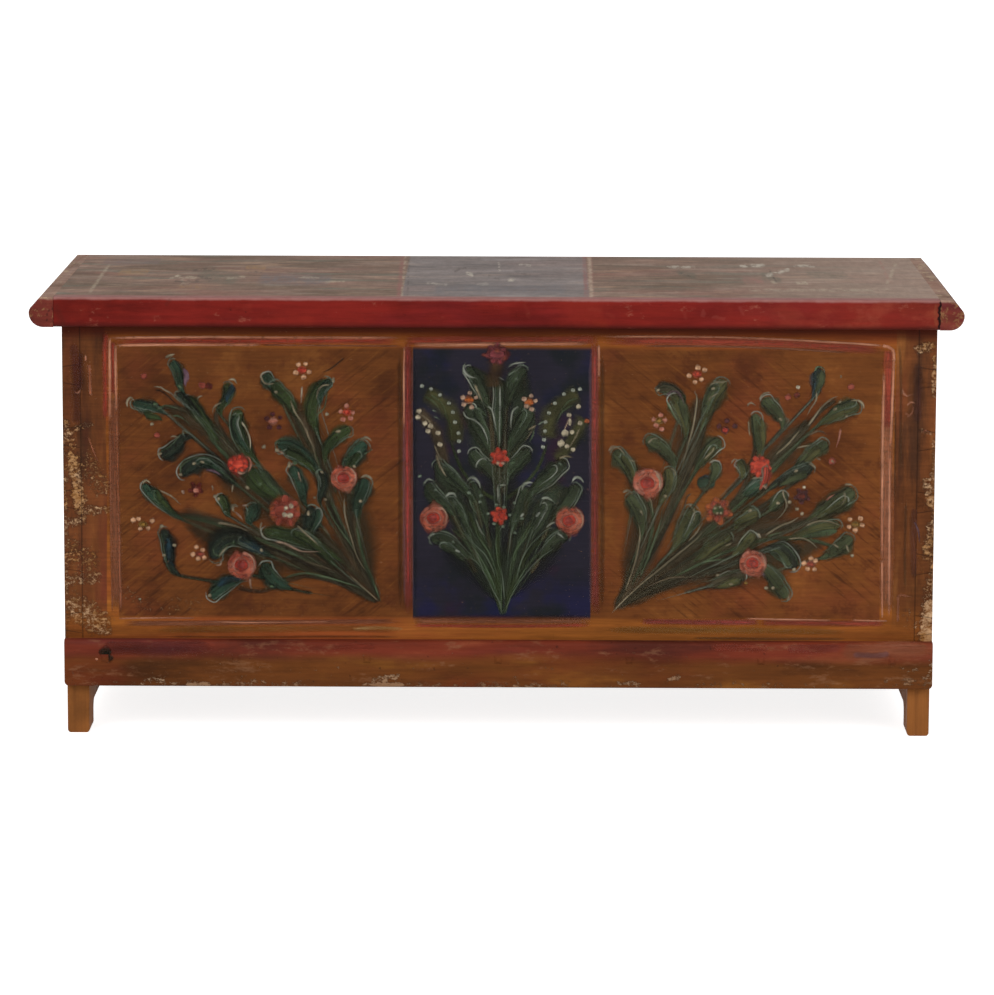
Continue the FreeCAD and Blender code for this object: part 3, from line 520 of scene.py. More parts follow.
    ("disc", "cream", 1.8, 164, 555),
    ("leaf", "night", 20, (214, 562), (216, 548), (229, 538), (246, 540), (263, 551)),
    ("leaf", "blue", 10, (239, 539), (249, 543), (260, 550)),
    ("line", "pale", 2.4, (212.5, 548), (215, 554), (221, 556.5)),
    ("line", "cream", 3.0, (219, 556), (224, 550), (228.5, 545)),
    ("line", "pale", 3.2, (234, 540), (233, 546.5)),
    ("line", "shell", 2.4, (216, 565.5), (221, 564), (221, 558)),
    ("dab", "cream", 3.6, (261.5, 548), (261.6, 552)),
    ("leaf", "teal", 18, (241, 577), (228, 583), (218, 590), (208, 598)),
    ("leaf", "blue", 7, (236, 579), (226, 581), (217, 586)),
    ("disc", "cream", 2.2, 209.6, 595.5),
    ("leaf", "teal", 18, (263, 562), (267, 572), (274, 580), (284, 586)),
    ("dab", "pale", 3.4, (270, 586), (274, 587)),
    ("line", "shell", 3.0, (250, 578), (250.5, 584), (252, 589)),
    ("leaf", "night", 16, (311, 505), (312, 517), (308, 529), (301, 540)),
    ("leaf", "teal", 9, (318, 508), (318, 518), (312, 530)),
    ("dab", "cream", 4.0, (308.5, 510), (308.5, 516)),
    ("dab", "cream", 3.0, (313, 497), (316, 498)),
    ("dab", "cream", 3.0, (324, 499), (327, 500)),
    ("leaf", "green", 17, (262, 530), (280, 534), (300, 540), (326, 551)),
    ("leaf", "green", 13, (292, 532), (305, 537), (318, 548), (330, 560)),
    ("line", "pale", 3.0, (271, 535.5), (275, 532.5), (280, 533)),
    ("line", "shell", 3.6, (274, 541.5), (284, 543), (295, 548.5), (304, 551.5), (326, 551)),
    ("line", "cream", 3.0, (297, 525), (303, 531), (312, 539), (320, 547)),
    ("line", "pale", 3.0, (281, 579), (293, 575), (306, 573), (326, 577), (343, 582), (363, 589),
     (375, 599)),
    ("line", "taupe", 2.6, (302, 560), (315, 564), (332, 570), (350, 580)),
    ("line", "pale", 2.6, (325, 502), (332, 517), (342, 532), (351, 545), (358, 558)),
    ("line", "cream", 2.6, (344.5, 496), (345, 515), (351, 537), (357, 556), (367, 573)),
    ("line", "pale", 2.4, (359.5, 504), (357, 519), (358, 537), (364, 558), (374, 580)),
    ("line", "cream", 2.2, (351, 576), (364, 588), (380, 602)),
    ("line", "pale", 2.2, (367, 565), (375, 586), (381, 603)),
    ("line", "dark", 2.4, (345, 357), (338, 363), (330, 369), (320, 373)),
    ("leaf", "teal", 17, (366, 477), (364, 487), (360, 497), (357, 508)),
    ("cap", "cream", 3.2, (361, 477.5), (367, 475.5), (373, 479)),
    ("disc", "cream", 1.9, 360.6, 501),

    # Flowers
    ("dots", "petal", "scarlet", 302, 370, (298, 364), (306, 363), (295, 373), (304, 378), (310, 372)),
    ("dots", "pink", "scarlet", 347, 412, (346.5, 405), (340, 411.5), (353.5, 412.5), (342.5, 420),
     (351, 419)),
    ("dots", "petal", "gold", 143, 524, (132, 519), (138, 518), (153.5, 520), (140, 529), (149, 528.6)),
    ("dots", "petal", "rose", 200, 554, (196, 546), (203, 549), (192, 554), (198, 559), (205, 558)),
    ("dots", "plum", "pink", 273, 421, (272.5, 413), (266, 418), (281, 417), (269, 428), (280, 428)),
    ("disc", "rose", 3.4, 144, 376),
    ("disc", "rose", 4.0, 202, 385),
    ("disc", "rose", 3.4, 157, 435),
    ("disc", "maroon", 4.0, 209, 386),
    ("disc", "red", 11, 238, 464.5),
    ("star", "scarlet", 238, 464, 10),
    ("arc", "pink", 3.4, 241, 464, 10, -60, 60),
    ("line", "shell", 4.0, (237, 471.5), (242, 473), (246, 472)),
    ("star", "maroon", 196, 489, 9, 5),
    ("disc", "pink", 3.0, 196, 490),
    ("dab", "shell", 3.2, (182, 490), (184, 494)),
    ("disc", "orange", 16, 285, 511),
    ("star", "rose", 285, 511, 17, 7),
    ("dab", "white", 6.0, (289, 504), (293, 508)),
    ("dab", "white", 5.4, (284, 507), (288, 509)),
    ("dab", "white", 6.0, (282, 513), (287, 516)),
    ("dab", "white", 6.4, (287, 516), (293, 514)),
    ("rose", 344, 478, 13.5),
    ("rose", 242, 565, 14.5),
    ("disc", "cream", 1.6, 140, 599),
)

CENTRE_SPRAY = (
    ("wash", "dusk", 60, (500, 610), (500, 560), (500, 500), (500, 400)),
    ("wash", "dusk", 40, (440, 540), (470, 560), (500, 600)),
    ("wash", "dusk", 40, (562, 540), (535, 560), (505, 600)),

    ("mass", "moss", 20, (424, 392), (440, 402), (452, 418), (458, 446)),
    ("mass", "moss", 20, (580, 394), (564, 402), (552, 416), (546, 440)),
    ("mass", "bark", 14, (417, 408), (430, 424), (438, 440), (446, 466)),
    ("mass", "moss", 16, (586, 418), (576, 432), (568, 448), (556, 462)),
    ("mass", "pine", 26, (490, 372), (478, 400), (484, 440), (492, 476)),
    ("mass", "pine", 26, (510, 372), (522, 400), (516, 440), (506, 476)),
    ("mass", "pine", 30, (440, 480), (462, 516), (484, 550), (500, 600)),
    ("mass", "pine", 30, (562, 480), (540, 516), (518, 550), (502, 600)),
    ("vein", "pale", 2.4, (424, 396), (434, 402), (441, 412)),
    ("vein", "pale", 2.4, (430, 394), (442, 404), (447, 416)),
    ("vein", "sage", 2.4, (444, 412), (450, 424), (452, 438)),
    ("vein", "cream", 2.4, (420, 414), (429, 421), (436, 431)),
    ("vein", "cream", 2.4, (434, 444), (440, 458), (448, 474)),
    ("vein", "pale", 2.4, (578, 398), (568, 402), (560, 412)),
    ("vein", "pale", 2.4, (574, 404), (562, 412), (556, 424)),
    ("vein", "cream", 2.6, (536, 424), (530, 434), (524, 442)),
    ("vein", "cream", 2.6, (580, 428), (574, 440), (566, 452)),
    ("vein", "shell", 2.6, (572, 414), (567, 424), (562, 436)),

    # Stems, spreading from the foot
    ("stem", "green", 4.0, (502, 616), (499, 590), (498, 555), (498, 520), (499.5, 480), (499.5, 430)),
    ("stem", "sage", 3.6, (502, 616), (497, 598), (486, 574), (470, 556), (454, 549), (440, 546)),
    ("stem", "sage", 3.2, (501, 612), (492, 584), (478, 560), (464, 540), (450, 528)),
    ("stem", "green", 3.6, (501, 608), (494, 578), (486, 550), (476, 530), (468, 508)),
    ("stem", "sage", 3.2, (503, 616), (509, 598), (520, 576), (536, 556), (554, 546)),
    ("stem", "green", 3.6, (504, 612), (512, 586), (524, 560), (540, 540), (556, 528)),
    ("stem", "sage", 3.0, (503, 606), (510, 576), (517, 548), (528, 528), (538, 508)),
    ("stem", "green", 3.4, (499, 480), (492, 455), (484, 430), (474, 404)),
    ("stem", "green", 3.4, (500, 476), (508, 448), (516, 426), (526, 404)),
    ("stem", "green", 3.0, (496, 500), (480, 490), (462, 470), (450, 440)),
    ("stem", "green", 3.0, (504, 500), (520, 488), (538, 468), (548, 440)),

    # Leaves, from the foot up
    ("leaf", "pine", 17, (430, 541), (440, 538), (450, 542), (462, 552)),
    ("leaf", "pine", 9, (440, 545), (450, 548), (460, 556)),
    ("line", "frost", 3.4, (428, 539), (431, 535), (436, 533)),
    ("dab", "reed", 3.2, (452, 541), (455, 543)),
    ("leaf", "pine", 15, (570, 537), (560, 537), (552, 543), (544, 553)),
    ("line", "frost", 3.4, (556, 533.5), (560, 535), (564, 539)),
    ("leaf", "pine", 18, (446, 499), (453, 508), (460, 520), (467, 533)),
    ("leaf", "pine", 9, (456, 503), (461, 515), (467, 528)),
    ("cap", "frost", 4.0, (445, 497.5), (449, 493.6), (454, 493.6), (456.5, 497.5)),
    ("leaf", "pine", 16, (472, 482), (475, 492), (478, 504), (484, 518)),
    ("leaf", "pine", 8, (478, 488), (481, 500), (486, 514)),
    ("cap", "frost", 4.0, (466, 482), (470, 478), (475, 478), (479.5, 484), (480, 490)),
    ("leaf", "pine", 16, (528, 486), (524, 497), (520, 510), (514, 524)),
    ("leaf", "pine", 8, (522, 492), (519, 504), (514, 518)),
    ("cap", "frost", 3.8, (522, 490.5), (524, 484.5), (529, 482.4), (535, 483.5)),
    ("leaf", "pine", 17, (551, 500), (546, 510), (540, 522), (532, 535)),
    ("leaf", "pine", 9, (545, 503), (539, 516), (533, 530)),
    ("cap", "frost", 3.6, (541, 498.5), (547, 498), (553, 501)),
    ("leaf", "pine", 17, (576, 483), (573, 493), (567, 503), (559, 511)),
    ("cap", "frost", 3.8, (572, 482), (575, 478), (580, 478), (584, 483)),
    ("leaf", "pine", 16, (426, 482), (432, 491), (440, 500), (448, 508)),
    ("dab", "reed", 3.6, (418, 477), (422, 475)),
    ("dab", "reed", 3.6, (434, 491), (437, 489)),
    ("leaf", "pine", 18, (434, 462), (444, 472), (455, 482), (468, 492)),
    ("leaf", "pine", 10, (444, 466), (454, 476), (464, 486)),
    ("line", "cream", 3.4, (436, 454), (440, 466), (447, 478)),
    ("leaf", "pine", 18, (566, 460), (556, 470), (546, 480), (534, 490)),
    ("leaf", "pine", 10, (556, 466), (546, 476), (536, 485)),
    ("line", "cream", 3.2, (559, 458.5), (566, 456), (573, 457.5)),
    ("dab", "reed", 3.0, (558.5, 463), (561.5, 465)),
    ("leaf", "pine", 16, (470, 450), (478, 459), (487, 467), (496, 478)),
    ("line", "frost", 2.8, (488, 459), (481, 459), (476.5, 464), (476, 469.5)),
    ("leaf", "pine", 16, (530, 448), (521, 458), (513, 467), (504, 478)),
    ("dab", "pale", 3.4, (509.5, 463.5), (515, 462)),
    ("line", "reed", 2.6, (504.5, 464), (507.6, 472), (508, 478)),
    ("leaf", "pine", 17, (467, 404), (472, 416), (480, 430), (489, 446)),
    ("leaf", "pine", 9, (474, 408), (480, 420), (488, 436)),
    ("line", "frost", 2.8, (463, 410), (466, 417), (475, 420.5), (482, 427), (487, 438), (488, 447)),
    ("line", "pale", 2.4, (477, 408), (482, 411), (487, 417)),
    ("leaf", "pine", 17, (532, 408), (527, 420), (519, 432), (510, 447)),
    ("leaf", "pine", 9, (525, 410), (519, 422), (511, 438)),
    ("line", "frost", 2.8, (519, 406), (513, 411), (511, 421), (511, 431)),
    ("line", "pale", 2.6, (529, 442), (533, 434.5), (534.5, 427)),
    ("line", "cream", 2.8, (527.5, 430), (533, 427), (536, 424.5)),
    ("line", "reed", 2.4, (537, 425.5), (543, 421.5), (546, 422)),
    ("leaf", "pine", 15, (467, 366), (473, 376), (480, 388), (487, 402)),
    ("leaf", "pine", 7, (475, 374), (480, 384), (486, 396)),
    ("cap", "frost", 3.8, (466, 362), (463.5, 367.5), (466, 373.6), (471, 377), (478, 378)),
    ("line", "cream", 3.6, (474.7, 384), (478, 392), (483, 402)),
    ("leaf", "pine", 15, (526, 367), (519, 375), (513, 387), (508, 401)),
    ("leaf", "pine", 7, (519, 371), (513, 382), (508, 394)),
    ("line", "frost", 3.2, (508, 367.5), (513, 363.8), (520, 362.8), (527, 362)),
    ("line", "reed", 2.6, (508, 376), (512, 372.5), (516.5, 370)),
    ("dab", "reed", 3.2, (515, 378), (518, 380)),
    ("leaf", "pine", 15, (499, 378), (500, 394), (499, 412), (499, 432)),
    ("mass", "brown", 17, (497, 360), (496, 369), (495, 377), (495, 388)),
    ("line", "frost", 2.2, (500, 384), (500, 410), (499.5, 428), (500, 447)),
    ("line", "frost", 2.6, (487, 406), (492, 410), (494.6, 421), (497, 433)),
    ("line", "frost", 2.4, (498, 484), (498, 503)),
    ("line", "frost", 2.4, (499.5, 485), (507.5, 485)),
    ("line", "reed", 2.0, (507.6, 477.5), (508, 485)),
    ("disc", "reed", 1.8, 480, 502),
    ("disc", "reed", 1.8, 514.5, 503),
    ("disc", "reed", 1.8, 522, 518.5),
    ("line", "reed", 2.0, (512, 521.8), (518, 520.6)),
    ("disc", "reed", 1.7, 515, 533),
    ("disc", "reed", 2.0, 469, 493),
    ("disc", "reed", 2.0, 481, 495.5),
    ("line", "reed", 2.2, (533, 491), (532, 497.5)),

    # Light lines along the stems
    ("line", "reed", 2.0, (502, 615.5), (499.5, 602), (492, 588), (484.6, 573.5), (474.7, 560),
     (457, 551)),
    ("line", "pale", 2.0, (498, 594), (491, 578), (482, 560), (471, 543), (462, 532), (452, 528.5)),
    ("line", "pale", 2.0, (499.5, 588), (494.6, 567), (488, 551), (478, 536), (473, 520), (471.5, 513)),
    ("line", "reed", 1.8, (497, 579.5), (486, 556), (474.7, 544.6), (464.7, 532), (460, 520)),
    ("line", "pale", 2.0, (501, 615.5), (501, 582), (498, 563), (496, 545), (497, 530)),
    ("line", "reed", 1.8, (504.5, 600.6), (503, 582), (501, 565)),
    ("line", "pale", 2.0, (510.7, 584), (510.7, 567), (514.5, 553), (522, 542), (529, 531), (536, 518)),
    ("line", "reed", 1.8, (514.5, 588), (521, 562), (529, 547), (539, 536), (548, 529), (557, 527)),
    ("line", "pale", 2.0, (511, 592), (521, 576), (531, 561), (541, 550.5)),
    ("line", "reed", 1.8, (505, 612), (511, 596), (522, 578), (538, 560), (559, 545)),

    ("dab", "frost", 3.2, (455, 550), (460, 552)),
    ("dab", "frost", 3.0, (536, 517), (540, 512)),
    ("line", "frost", 2.4, (476, 519), (479, 527), (484, 536)),
    ("line", "frost", 2.4, (424, 484), (428, 479), (434, 481)),
    ("dab", "frost", 3.0, (520, 517), (524, 513)),
    ("line", "frost", 2.4, (546, 527), (552, 523), (558, 522)),

    # Chains of pale dots and berries
    ("string", "frost", 2.2, (422, 386), (431, 389), (440, 395), (449, 403), (453, 412), (455, 422),
     (458.5, 433)),
    ("string", "frost", 2.2, (459, 441), (459, 451)),
    ("string", "frost", 2.2, (580, 389), (573, 390), (564, 394), (555, 403), (549, 413), (545.5, 422),
     (545, 431)),
    ("string", "frost", 2.2, (544, 439.5), (543, 447)),
    ("string", "white", 2.8, (419, 411), (418, 417), (425, 423), (430.5, 426), (428, 431), (438, 433),
     (440, 444.5)),
    ("line", "reed", 2.2, (432, 410), (437, 411.5)),
    ("line", "reed", 2.2, (434, 416), (441, 420)),
    ("dab", "white", 4.4, (570, 418), (570, 426)),
    ("string", "white", 4.0, (565, 433), (561, 443)),
    ("string", "white", 2.6, (567, 446), (573, 449.5), (569, 415), (580, 423), (578.5, 406.5),
     (572, 432)),
    ("disc", "orange", 2.8, 587, 421),

    # Flowers
    ("disc", "maroon", 13, 498, 354, "wash"),
    ("star", "berry", 497, 354, 12, 7),
    ("disc", "rose", 2.6, 484, 355, "wash"),
    ("disc", "rose", 3.4, 497, 350.5, "wash"),
    ("disc", "rose", 3.0, 505, 358, "wash"),
    ("dots", "shell", "amber", 469, 400, (462, 397), (470, 392), (477, 397), (463, 405), (472, 408)),
    ("dots", "shell", "amber", 529, 402, (523.5, 398.5), (531.5, 395), (536.5, 400.5), (526, 406.5),
     (532, 410)),
    ("star", "scarlet", 499.5, 457, 10.5, 6),
    ("disc", "red", 5, 499.5, 457),
    ("disc", "shell", 1.9, 498, 463),
    ("disc", "shell", 1.9, 502.6, 463),
    ("star", "scarlet", 499.5, 515.4, 10, 6),
    ("disc", "red", 5, 499.5, 515.4),
    ("string", "reed", 1.8, (496.4, 504.8), (504, 507), (509.7, 514.8), (503, 526.6), (494, 523.5),
     (488, 513.5)),
    ("rose", 434, 518, 14.5),
    ("rose", 570, 520.4, 14.5),
)

RIGHT_SPRAY = (
    ("wash", "shade", 62, (800, 500), (750, 520), (700, 545), (640, 590)),
    ("wash", "shade", 54, (830, 540), (770, 560), (700, 570), (640, 592)),
    ("wash", "shade", 40, (810, 420), (785, 450), (750, 480)),
    ("wash", "shade", 44, (700, 395), (690, 440), (670, 500)),
    ("wash", "shade", 46, (630, 460), (645, 510), (625, 590)),

    ("mass", "bark", 15, (806, 424), (780, 454), (752, 486), (716, 522), (676, 558), (636, 592),
     (614, 610)),
    ("mass", "bark", 15, (704, 414), (694, 452), (682, 486), (664, 524), (644, 566), (618, 606)),
    ("mass", "bark", 13, (640, 486), (646, 514), (642, 548), (630, 582), (614, 610)),
    ("mass", "bark", 17, (852, 500), (814, 520), (770, 530), (722, 548), (676, 574), (626, 604)),
    ("mass", "shade", 12, (748, 562), (708, 570), (666, 584), (624, 606)),

    # Stems, from the twigs to the root at the lower left
    ("stem", "olive", 4.5, (812, 414), (798, 432), (780, 452), (762, 474), (740, 496), (716, 520),
     (680, 552), (640, 588), (612, 612)),
    ("stem", "olive", 4.0, (838, 398), (822, 410), (806, 428), (788, 448), (770, 468)),
    ("stem", "sage", 3.4, (807, 436), (790, 452), (770, 474), (748, 496), (722, 520), (690, 546)),
    ("stem", "olive", 4.5, (706, 414), (702, 434), (694, 458), (682, 484), (668, 516), (650, 552),
     (628, 590)),
    ("stem", "olive", 4.0, (681, 424), (688, 444), (684, 470), (672, 500), (658, 534), (640, 572)),
    ("stem", "olive", 4.0, (632, 478), (640, 500), (643, 524), (638, 552), (626, 586), (612, 612)),
    ("stem", "sage", 3.0, (644, 496), (652, 510), (652, 530), (644, 558), (630, 588)),
    ("stem", "olive", 4.0, (760, 421), (756, 442), (752, 462), (744, 486), (728, 510)),
    ("stem", "olive", 4.0, (858, 498), (838, 512), (808, 522), (776, 528), (742, 538), (706, 554),
     (662, 582), (622, 606)),
    ("stem", "olive", 3.6, (816, 466), (792, 484), (768, 502), (738, 524), (702, 548)),
    ("stem", "sage", 3.2, (852, 556), (826, 544), (796, 538), (764, 540), (726, 552), (684, 572),
     (646, 594)),
    ("stem", "olive", 3.6, (770, 550), (744, 560), (712, 566), (676, 578), (640, 596), (616, 610)),
    ("stem", "brown", 3.6, (720, 580), (694, 580), (662, 590), (630, 604)),
    ("stem", "dark", 2.6, (786, 492), (754, 518), (716, 540), (676, 568), (640, 594)),
    ("stem", "dark", 2.4, (690, 470), (676, 506), (660, 540), (640, 574)),
    ("stem", "dark", 2.4, (630, 566), (640, 540), (642, 514)),
    ("stem", "dark", 2.4, (760, 548), (720, 560), (680, 580), (644, 598)),

    # The upper left branches
    ("leaf", "olive", 14, (656, 390), (665, 388), (674, 391), (681, 398)),
    ("leaf", "moss", 17, (672, 394), (677, 404), (682, 414), (686, 427)),
    ("leaf", "fern", 8, (680, 398), (683, 408), (686, 420)),
    ("line", "lilac", 3.2, (666, 397), (671, 392), (677, 392), (681, 396.5), (685, 406)),
    ("line", "pale", 2.4, (666, 400.5), (671, 410), (676, 419), (681, 426)),
    ("dab", "cream", 3.4, (656, 391), (660, 389)),
    ("leaf", "moss", 19, (727, 380), (718, 390), (711, 402), (706, 418)),
    ("leaf", "fern", 10, (717, 384), (711, 394), (706, 408)),
    ("line", "cream", 2.8, (710, 385.5), (715, 382.3), (723, 382), (731, 380)),
    ("dab", "cream", 3.4, (711, 389), (715, 388)),
    ("line", "cream", 2.4, (708, 400.5), (713, 396), (719, 393)),
    ("line", "cream", 2.6, (694, 389), (697, 399), (695, 416), (692, 431), (688, 445), (684, 460),
     (678, 479)),
    ("line", "pale", 2.4, (708, 421), (703, 425), (698, 439)),
    ("line", "cream", 2.4, (710, 461), (719, 464), (721.5, 473)),
    ("leaf", "fern", 17, (644, 440), (653, 442), (662, 449), (672, 460)),
    ("line", "cream", 3.0, (648, 443.5), (652, 439), (659, 437.5)),
    ("leaf", "fern", 18, (722, 439), (714, 445), (707, 452), (700, 463)),
    ("leaf", "moss", 9, (716, 446), (710, 453), (703, 462)),
    ("line", "pale", 2.6, (706, 446.5), (713, 445), (720, 448), (725, 446)),
    ("line", "cream", 2.6, (704, 459), (712, 451.5), (714, 447)),
    ("leaf", "fern", 18, (613, 450), (620, 457), (627, 466), (634, 480)),
    ("leaf", "moss", 9, (621, 455), (628, 464), (634, 476)),
    ("line", "cream", 2.8, (608, 451.5), (613, 446.5), (620, 449), (626, 456)),
    ("line", "cream", 2.6, (629, 460), (635, 461.5)),
    ("leaf", "moss", 15, (668, 467), (670, 477), (668, 487), (663, 498)),
    ("line", "cream", 2.8, (671, 468), (674.5, 471), (676, 476.5)),
    ("dab", "cream", 3.2, (663.5, 495), (666.5, 497)),
    ("disc", "teal", 9.5, 706, 483),
    ("line", "blue", 4.0, (700, 479), (706, 476), (712, 480)),

    # The upper right branches
    ("leaf", "blue", 13, (819, 367), (818, 376), (817, 384), (815, 393)),
    ("leaf", "fern", 7, (822, 370), (822, 379), (818, 388)),
    ("cap", "pale", 2.8, (814, 372), (818, 367), (824, 368.5)),
    ("line", "cream", 2.8, (816.5, 391), (816, 400), (811, 408), (807, 416)),
    ("leaf", "fern", 17, (763, 397), (769, 405), (775, 411), (782, 420)),
    ("cap", "cream", 3.2, (759, 400), (763.5, 394), (771, 392)),
    ("dab", "cream", 3.4, (779, 418), (782, 420.5)),
    ("leaf", "fern", 15, (755, 412), (757, 425), (758, 437), (760, 450)),
    ("leaf", "moss", 7, (761, 418), (762, 430), (763, 444)),
    ("line", "cream", 2.8, (747, 406.5), (750.5, 402.7), (756.5, 406)),
    ("line", "cream", 2.4, (748.6, 421), (749, 429), (750, 437)),
    ("line", "pale", 2.4, (754, 418), (758, 421), (761, 425.5)),
    ("leaf", "moss", 17, (861, 405), (850, 408), (838, 413), (826, 420)),
    ("leaf", "fern", 9, (856, 401), (846, 405), (834, 411)),
    ("cap", "cream", 3.0, (850, 401), (858, 400.5), (863, 404), (864, 410)),
    ("dab", "cream", 3.2, (833, 410), (837, 408)),
    ("dab", "cream", 2.8, (838.5, 403), (841.5, 401)),
    ("dab", "cream", 2.8, (845, 417), (848, 415.5)),
    ("line", "cream", 3.0, (807, 427), (815, 416), (822, 406.5), (832, 398.5), (839, 396)),
    ("line", "cream", 2.6, (841, 375), (841, 378)),
    ("leaf", "fern", 16, (828, 441), (820, 447), (811, 453), (801, 462)),
    ("leaf", "moss", 8, (822, 448), (814, 454), (806, 461)),
    ("line", "cream", 2.4, (796, 448), (805, 446), (812, 445.5)),
    ("line", "taupe", 3.6, (807, 436), (815, 432), (822, 431.5), (827, 435.5)),
    ("line", "cream", 2.2, (816, 458), (821, 460)),
    ("line", "pink", 2.8, (841, 428), (839, 438), (836, 448)),
    ("line", "cream", 2.8, (775, 455), (786, 446), (794, 437), (801, 429)),
    ("leaf", "night", 16, (814, 468), (803, 471), (791, 476), (777, 484)),
    ("leaf", "fern", 8, (808, 473), (797, 477), (786, 482)),
    ("cap", "cream", 3.2, (809, 464.5), (813, 465), (816.5, 469)),
    ("dab", "cream", 3.4, (794, 472), (798, 470)),
    ("leaf", "fern", 21, (855, 489), (845, 496), (832, 504), (818, 514)),
    ("leaf", "moss", 11, (848, 498), (837, 506), (824, 514)),
    ("cap", "cream", 3.0, (844, 485), (848.5, 484), (853, 485.5)),
    ("line", "pink", 2.8, (826, 500.5), (830, 497), (835, 494)),
    ("line", "cream", 2.4, (844, 492), (845, 499), (841, 505.5)),

    # The lower half
    ("leaf", "fern", 18, (628, 494), (634, 503), (639, 513), (642, 526)),
    ("cap", "cream", 3.4, (622.5, 492.5), (628, 490.5), (633.5, 494.5)),
    ("line", "cream", 2.4, (640, 510), (643.5, 516)),
    ("leaf", "moss", 19, (695, 506), (689, 517), (684, 528), (677, 542)),
    ("leaf", "fern", 9, (699, 512), (694, 523), (686, 536)),
    ("line", "taupe", 3.0, (692, 493), (687, 497), (684, 508), (678, 522), (677, 534)),
    ("line", "cream", 2.4, (689, 504), (694, 511), (694, 523)),
    ("leaf", "moss", 18, (732, 535), (722, 540), (712, 546), (702, 555)),
    ("line", "pale", 3.0, (707, 536), (717, 534.5), (728, 536)),
    ("dab", "cream", 3.4, (714, 541.5), (718, 541)),
    ("line", "cream", 2.4, (724, 546), (732, 543)),
    ("leaf", "olive", 16, (746, 575), (736, 577), (726, 579), (714, 584)),
    ("leaf", "moss", 8, (742, 580), (732, 583), (722, 586)),
    ("dab", "cream", 3.2, (716, 575), (720, 575)),
    ("dab", "cream", 3.0, (729, 584), (733, 584)),
    ("dab", "gold", 3.4, (744, 583), (748, 583)),
    ("leaf", "fern", 18, (853, 536), (845, 543), (838, 549), (828, 555)),
    ("line", "cream", 2.8, (832, 543), (839, 547.5)),
    ("line", "cream", 2.8, (846, 544), (849, 552.5)),
    ("disc", "cream", 1.9, 852, 555.6),
    ("leaf", "moss", 14, (842, 525), (828, 526), (814, 529), (796, 536)),
    ("leaf", "sage", 7, (838, 531), (824, 533), (808, 536)),
    ("line", "cream", 3.0, (805, 526), (817, 521.5), (829, 521.5), (842, 526)),
    ("leaf", "moss", 15, (756, 534), (750, 539), (745, 545), (738, 552)),
    ("line", "white", 3.0, (758, 532.5), (761, 538.5)),
    ("leaf", "night", 19, (771, 549), (781, 549), (789, 556), (795, 571)),
    ("leaf", "fern", 9, (778, 551), (785, 557), (790, 567)),
    ("line", "pale", 2.6, (770, 550), (775, 557), (782, 561), (788, 562)),
    ("disc", "cream", 2.1, 794, 569.5),
    ("leaf", "fern", 19, (764, 569), (773, 577), (780, 587), (787, 600)),
    ("disc", "cream", 2.0, 766, 588),
    ("disc", "cream", 2.0, 773, 588),
    ("line", "cream", 2.6, (789, 594.5), (788.5, 598), (786, 600.5)),
    ("line", "lilac", 3.0, (762, 573), (765, 576)),
    ("leaf", "moss", 14, (754, 507), (751, 513), (746, 519), (739, 525)),
    ("leaf", "moss", 12, (737, 461), (742, 466), (743, 475)),
    ("line", "cream", 2.4, (731, 464), (734, 459.6), (740, 460)),
    ("leaf", "fern", 12, (714, 461), (716, 469), (713, 478)),
    ("line", "cream", 2.4, (709, 464), (712, 459.6), (717, 460)),
    ("leaf", "teal", 15, (766, 482), (757, 486), (748, 492)),
    ("line", "cream", 2.4, (751, 479), (759, 477.6), (767, 482)),
    ("line", "pale", 2.4, (753, 489), (758, 487), (764, 488)),
    ("leaf", "fern", 13, (787, 493), (780, 499), (773, 507)),
    ("leaf", "moss", 14, (759, 513), (750, 516), (740, 521)),
    ("dab", "cream", 3.0, (748, 511), (752, 510)),
    ("line", "cream", 2.6, (784, 489), (783, 494), (786.5, 504), (783, 513), (773, 522.5)),
    ("string", "cream", 2.0, (778, 503), (789.5, 502), (797, 509), (802, 513.6)),
    ("line", "cream", 2.8, (764, 536), (780, 526), (791.5, 521.5), (799, 516.5)),
    ("line", "pale", 2.4, (767, 536.5), (784, 531)),
    ("line", "cream", 2.6, (787.5, 539), (801, 538), (811, 542), (817, 548)),

    # Light lines along the stems
    ("line", "cream", 2.6, (610, 615), (623, 601), (642.5, 583), (661, 568), (679, 553), (694, 541),
     (706, 529)),
    ("line", "pale", 2.6, (638, 581), (646.5, 562), (654, 541), (661, 519.5), (662, 504)),
    ("line", "cream", 2.4, (624, 594), (633, 569), (638, 549), (640, 534), (638, 521)),
    ("line", "cream", 2.2, (646.5, 496), (651, 501), (653, 513.5)),
    ("line", "cream", 2.4, (703, 521), (696, 533), (687, 542)),
    ("line", "pale", 2.6, (689, 569), (699, 564), (714, 560), (733.5, 560)),
    ("line", "taupe", 2.8, (644.5, 588), (669, 578), (689, 577), (714, 575)),
    ("line", "dark", 2.8, (630, 602), (659, 590), (684, 583)),

    # Flowers
    ("dots", "petal", "scarlet", 697, 374, (698, 366.5), (705.7, 369.4), (688, 376), (702, 380),
     (694.7, 383)),
    ("dots", "pink", "gold", 659, 421, (653, 419), (661, 414), (665.5, 420), (655.5, 426), (662, 430)),
    ("dots", "petal", "gold", 856, 524, (849, 518.5), (861, 517.5), (848, 527), (855, 531), (863, 525)),
    ("dots", "petal", "rose", 811, 564, (811, 557.6), (816, 560), (803, 563), (807, 569.5), (815, 570)),
    ("disc", "plum", 4.4, 725, 430),
    ("disc", "red", 3.0, 725, 430),
    ("string", "plum", 3.0, (727, 420.6), (735, 426), (719, 426)),
    ("disc", "rose", 3.6, 788, 397),
    ("disc", "maroon", 3.4, 797, 395),
    ("disc", "white", 2.2, 798, 387),
    ("disc", "rose", 3.8, 851, 387),
    ("disc", "red", 10, 760, 466),
    ("star", "scarlet", 760, 466, 11.5),
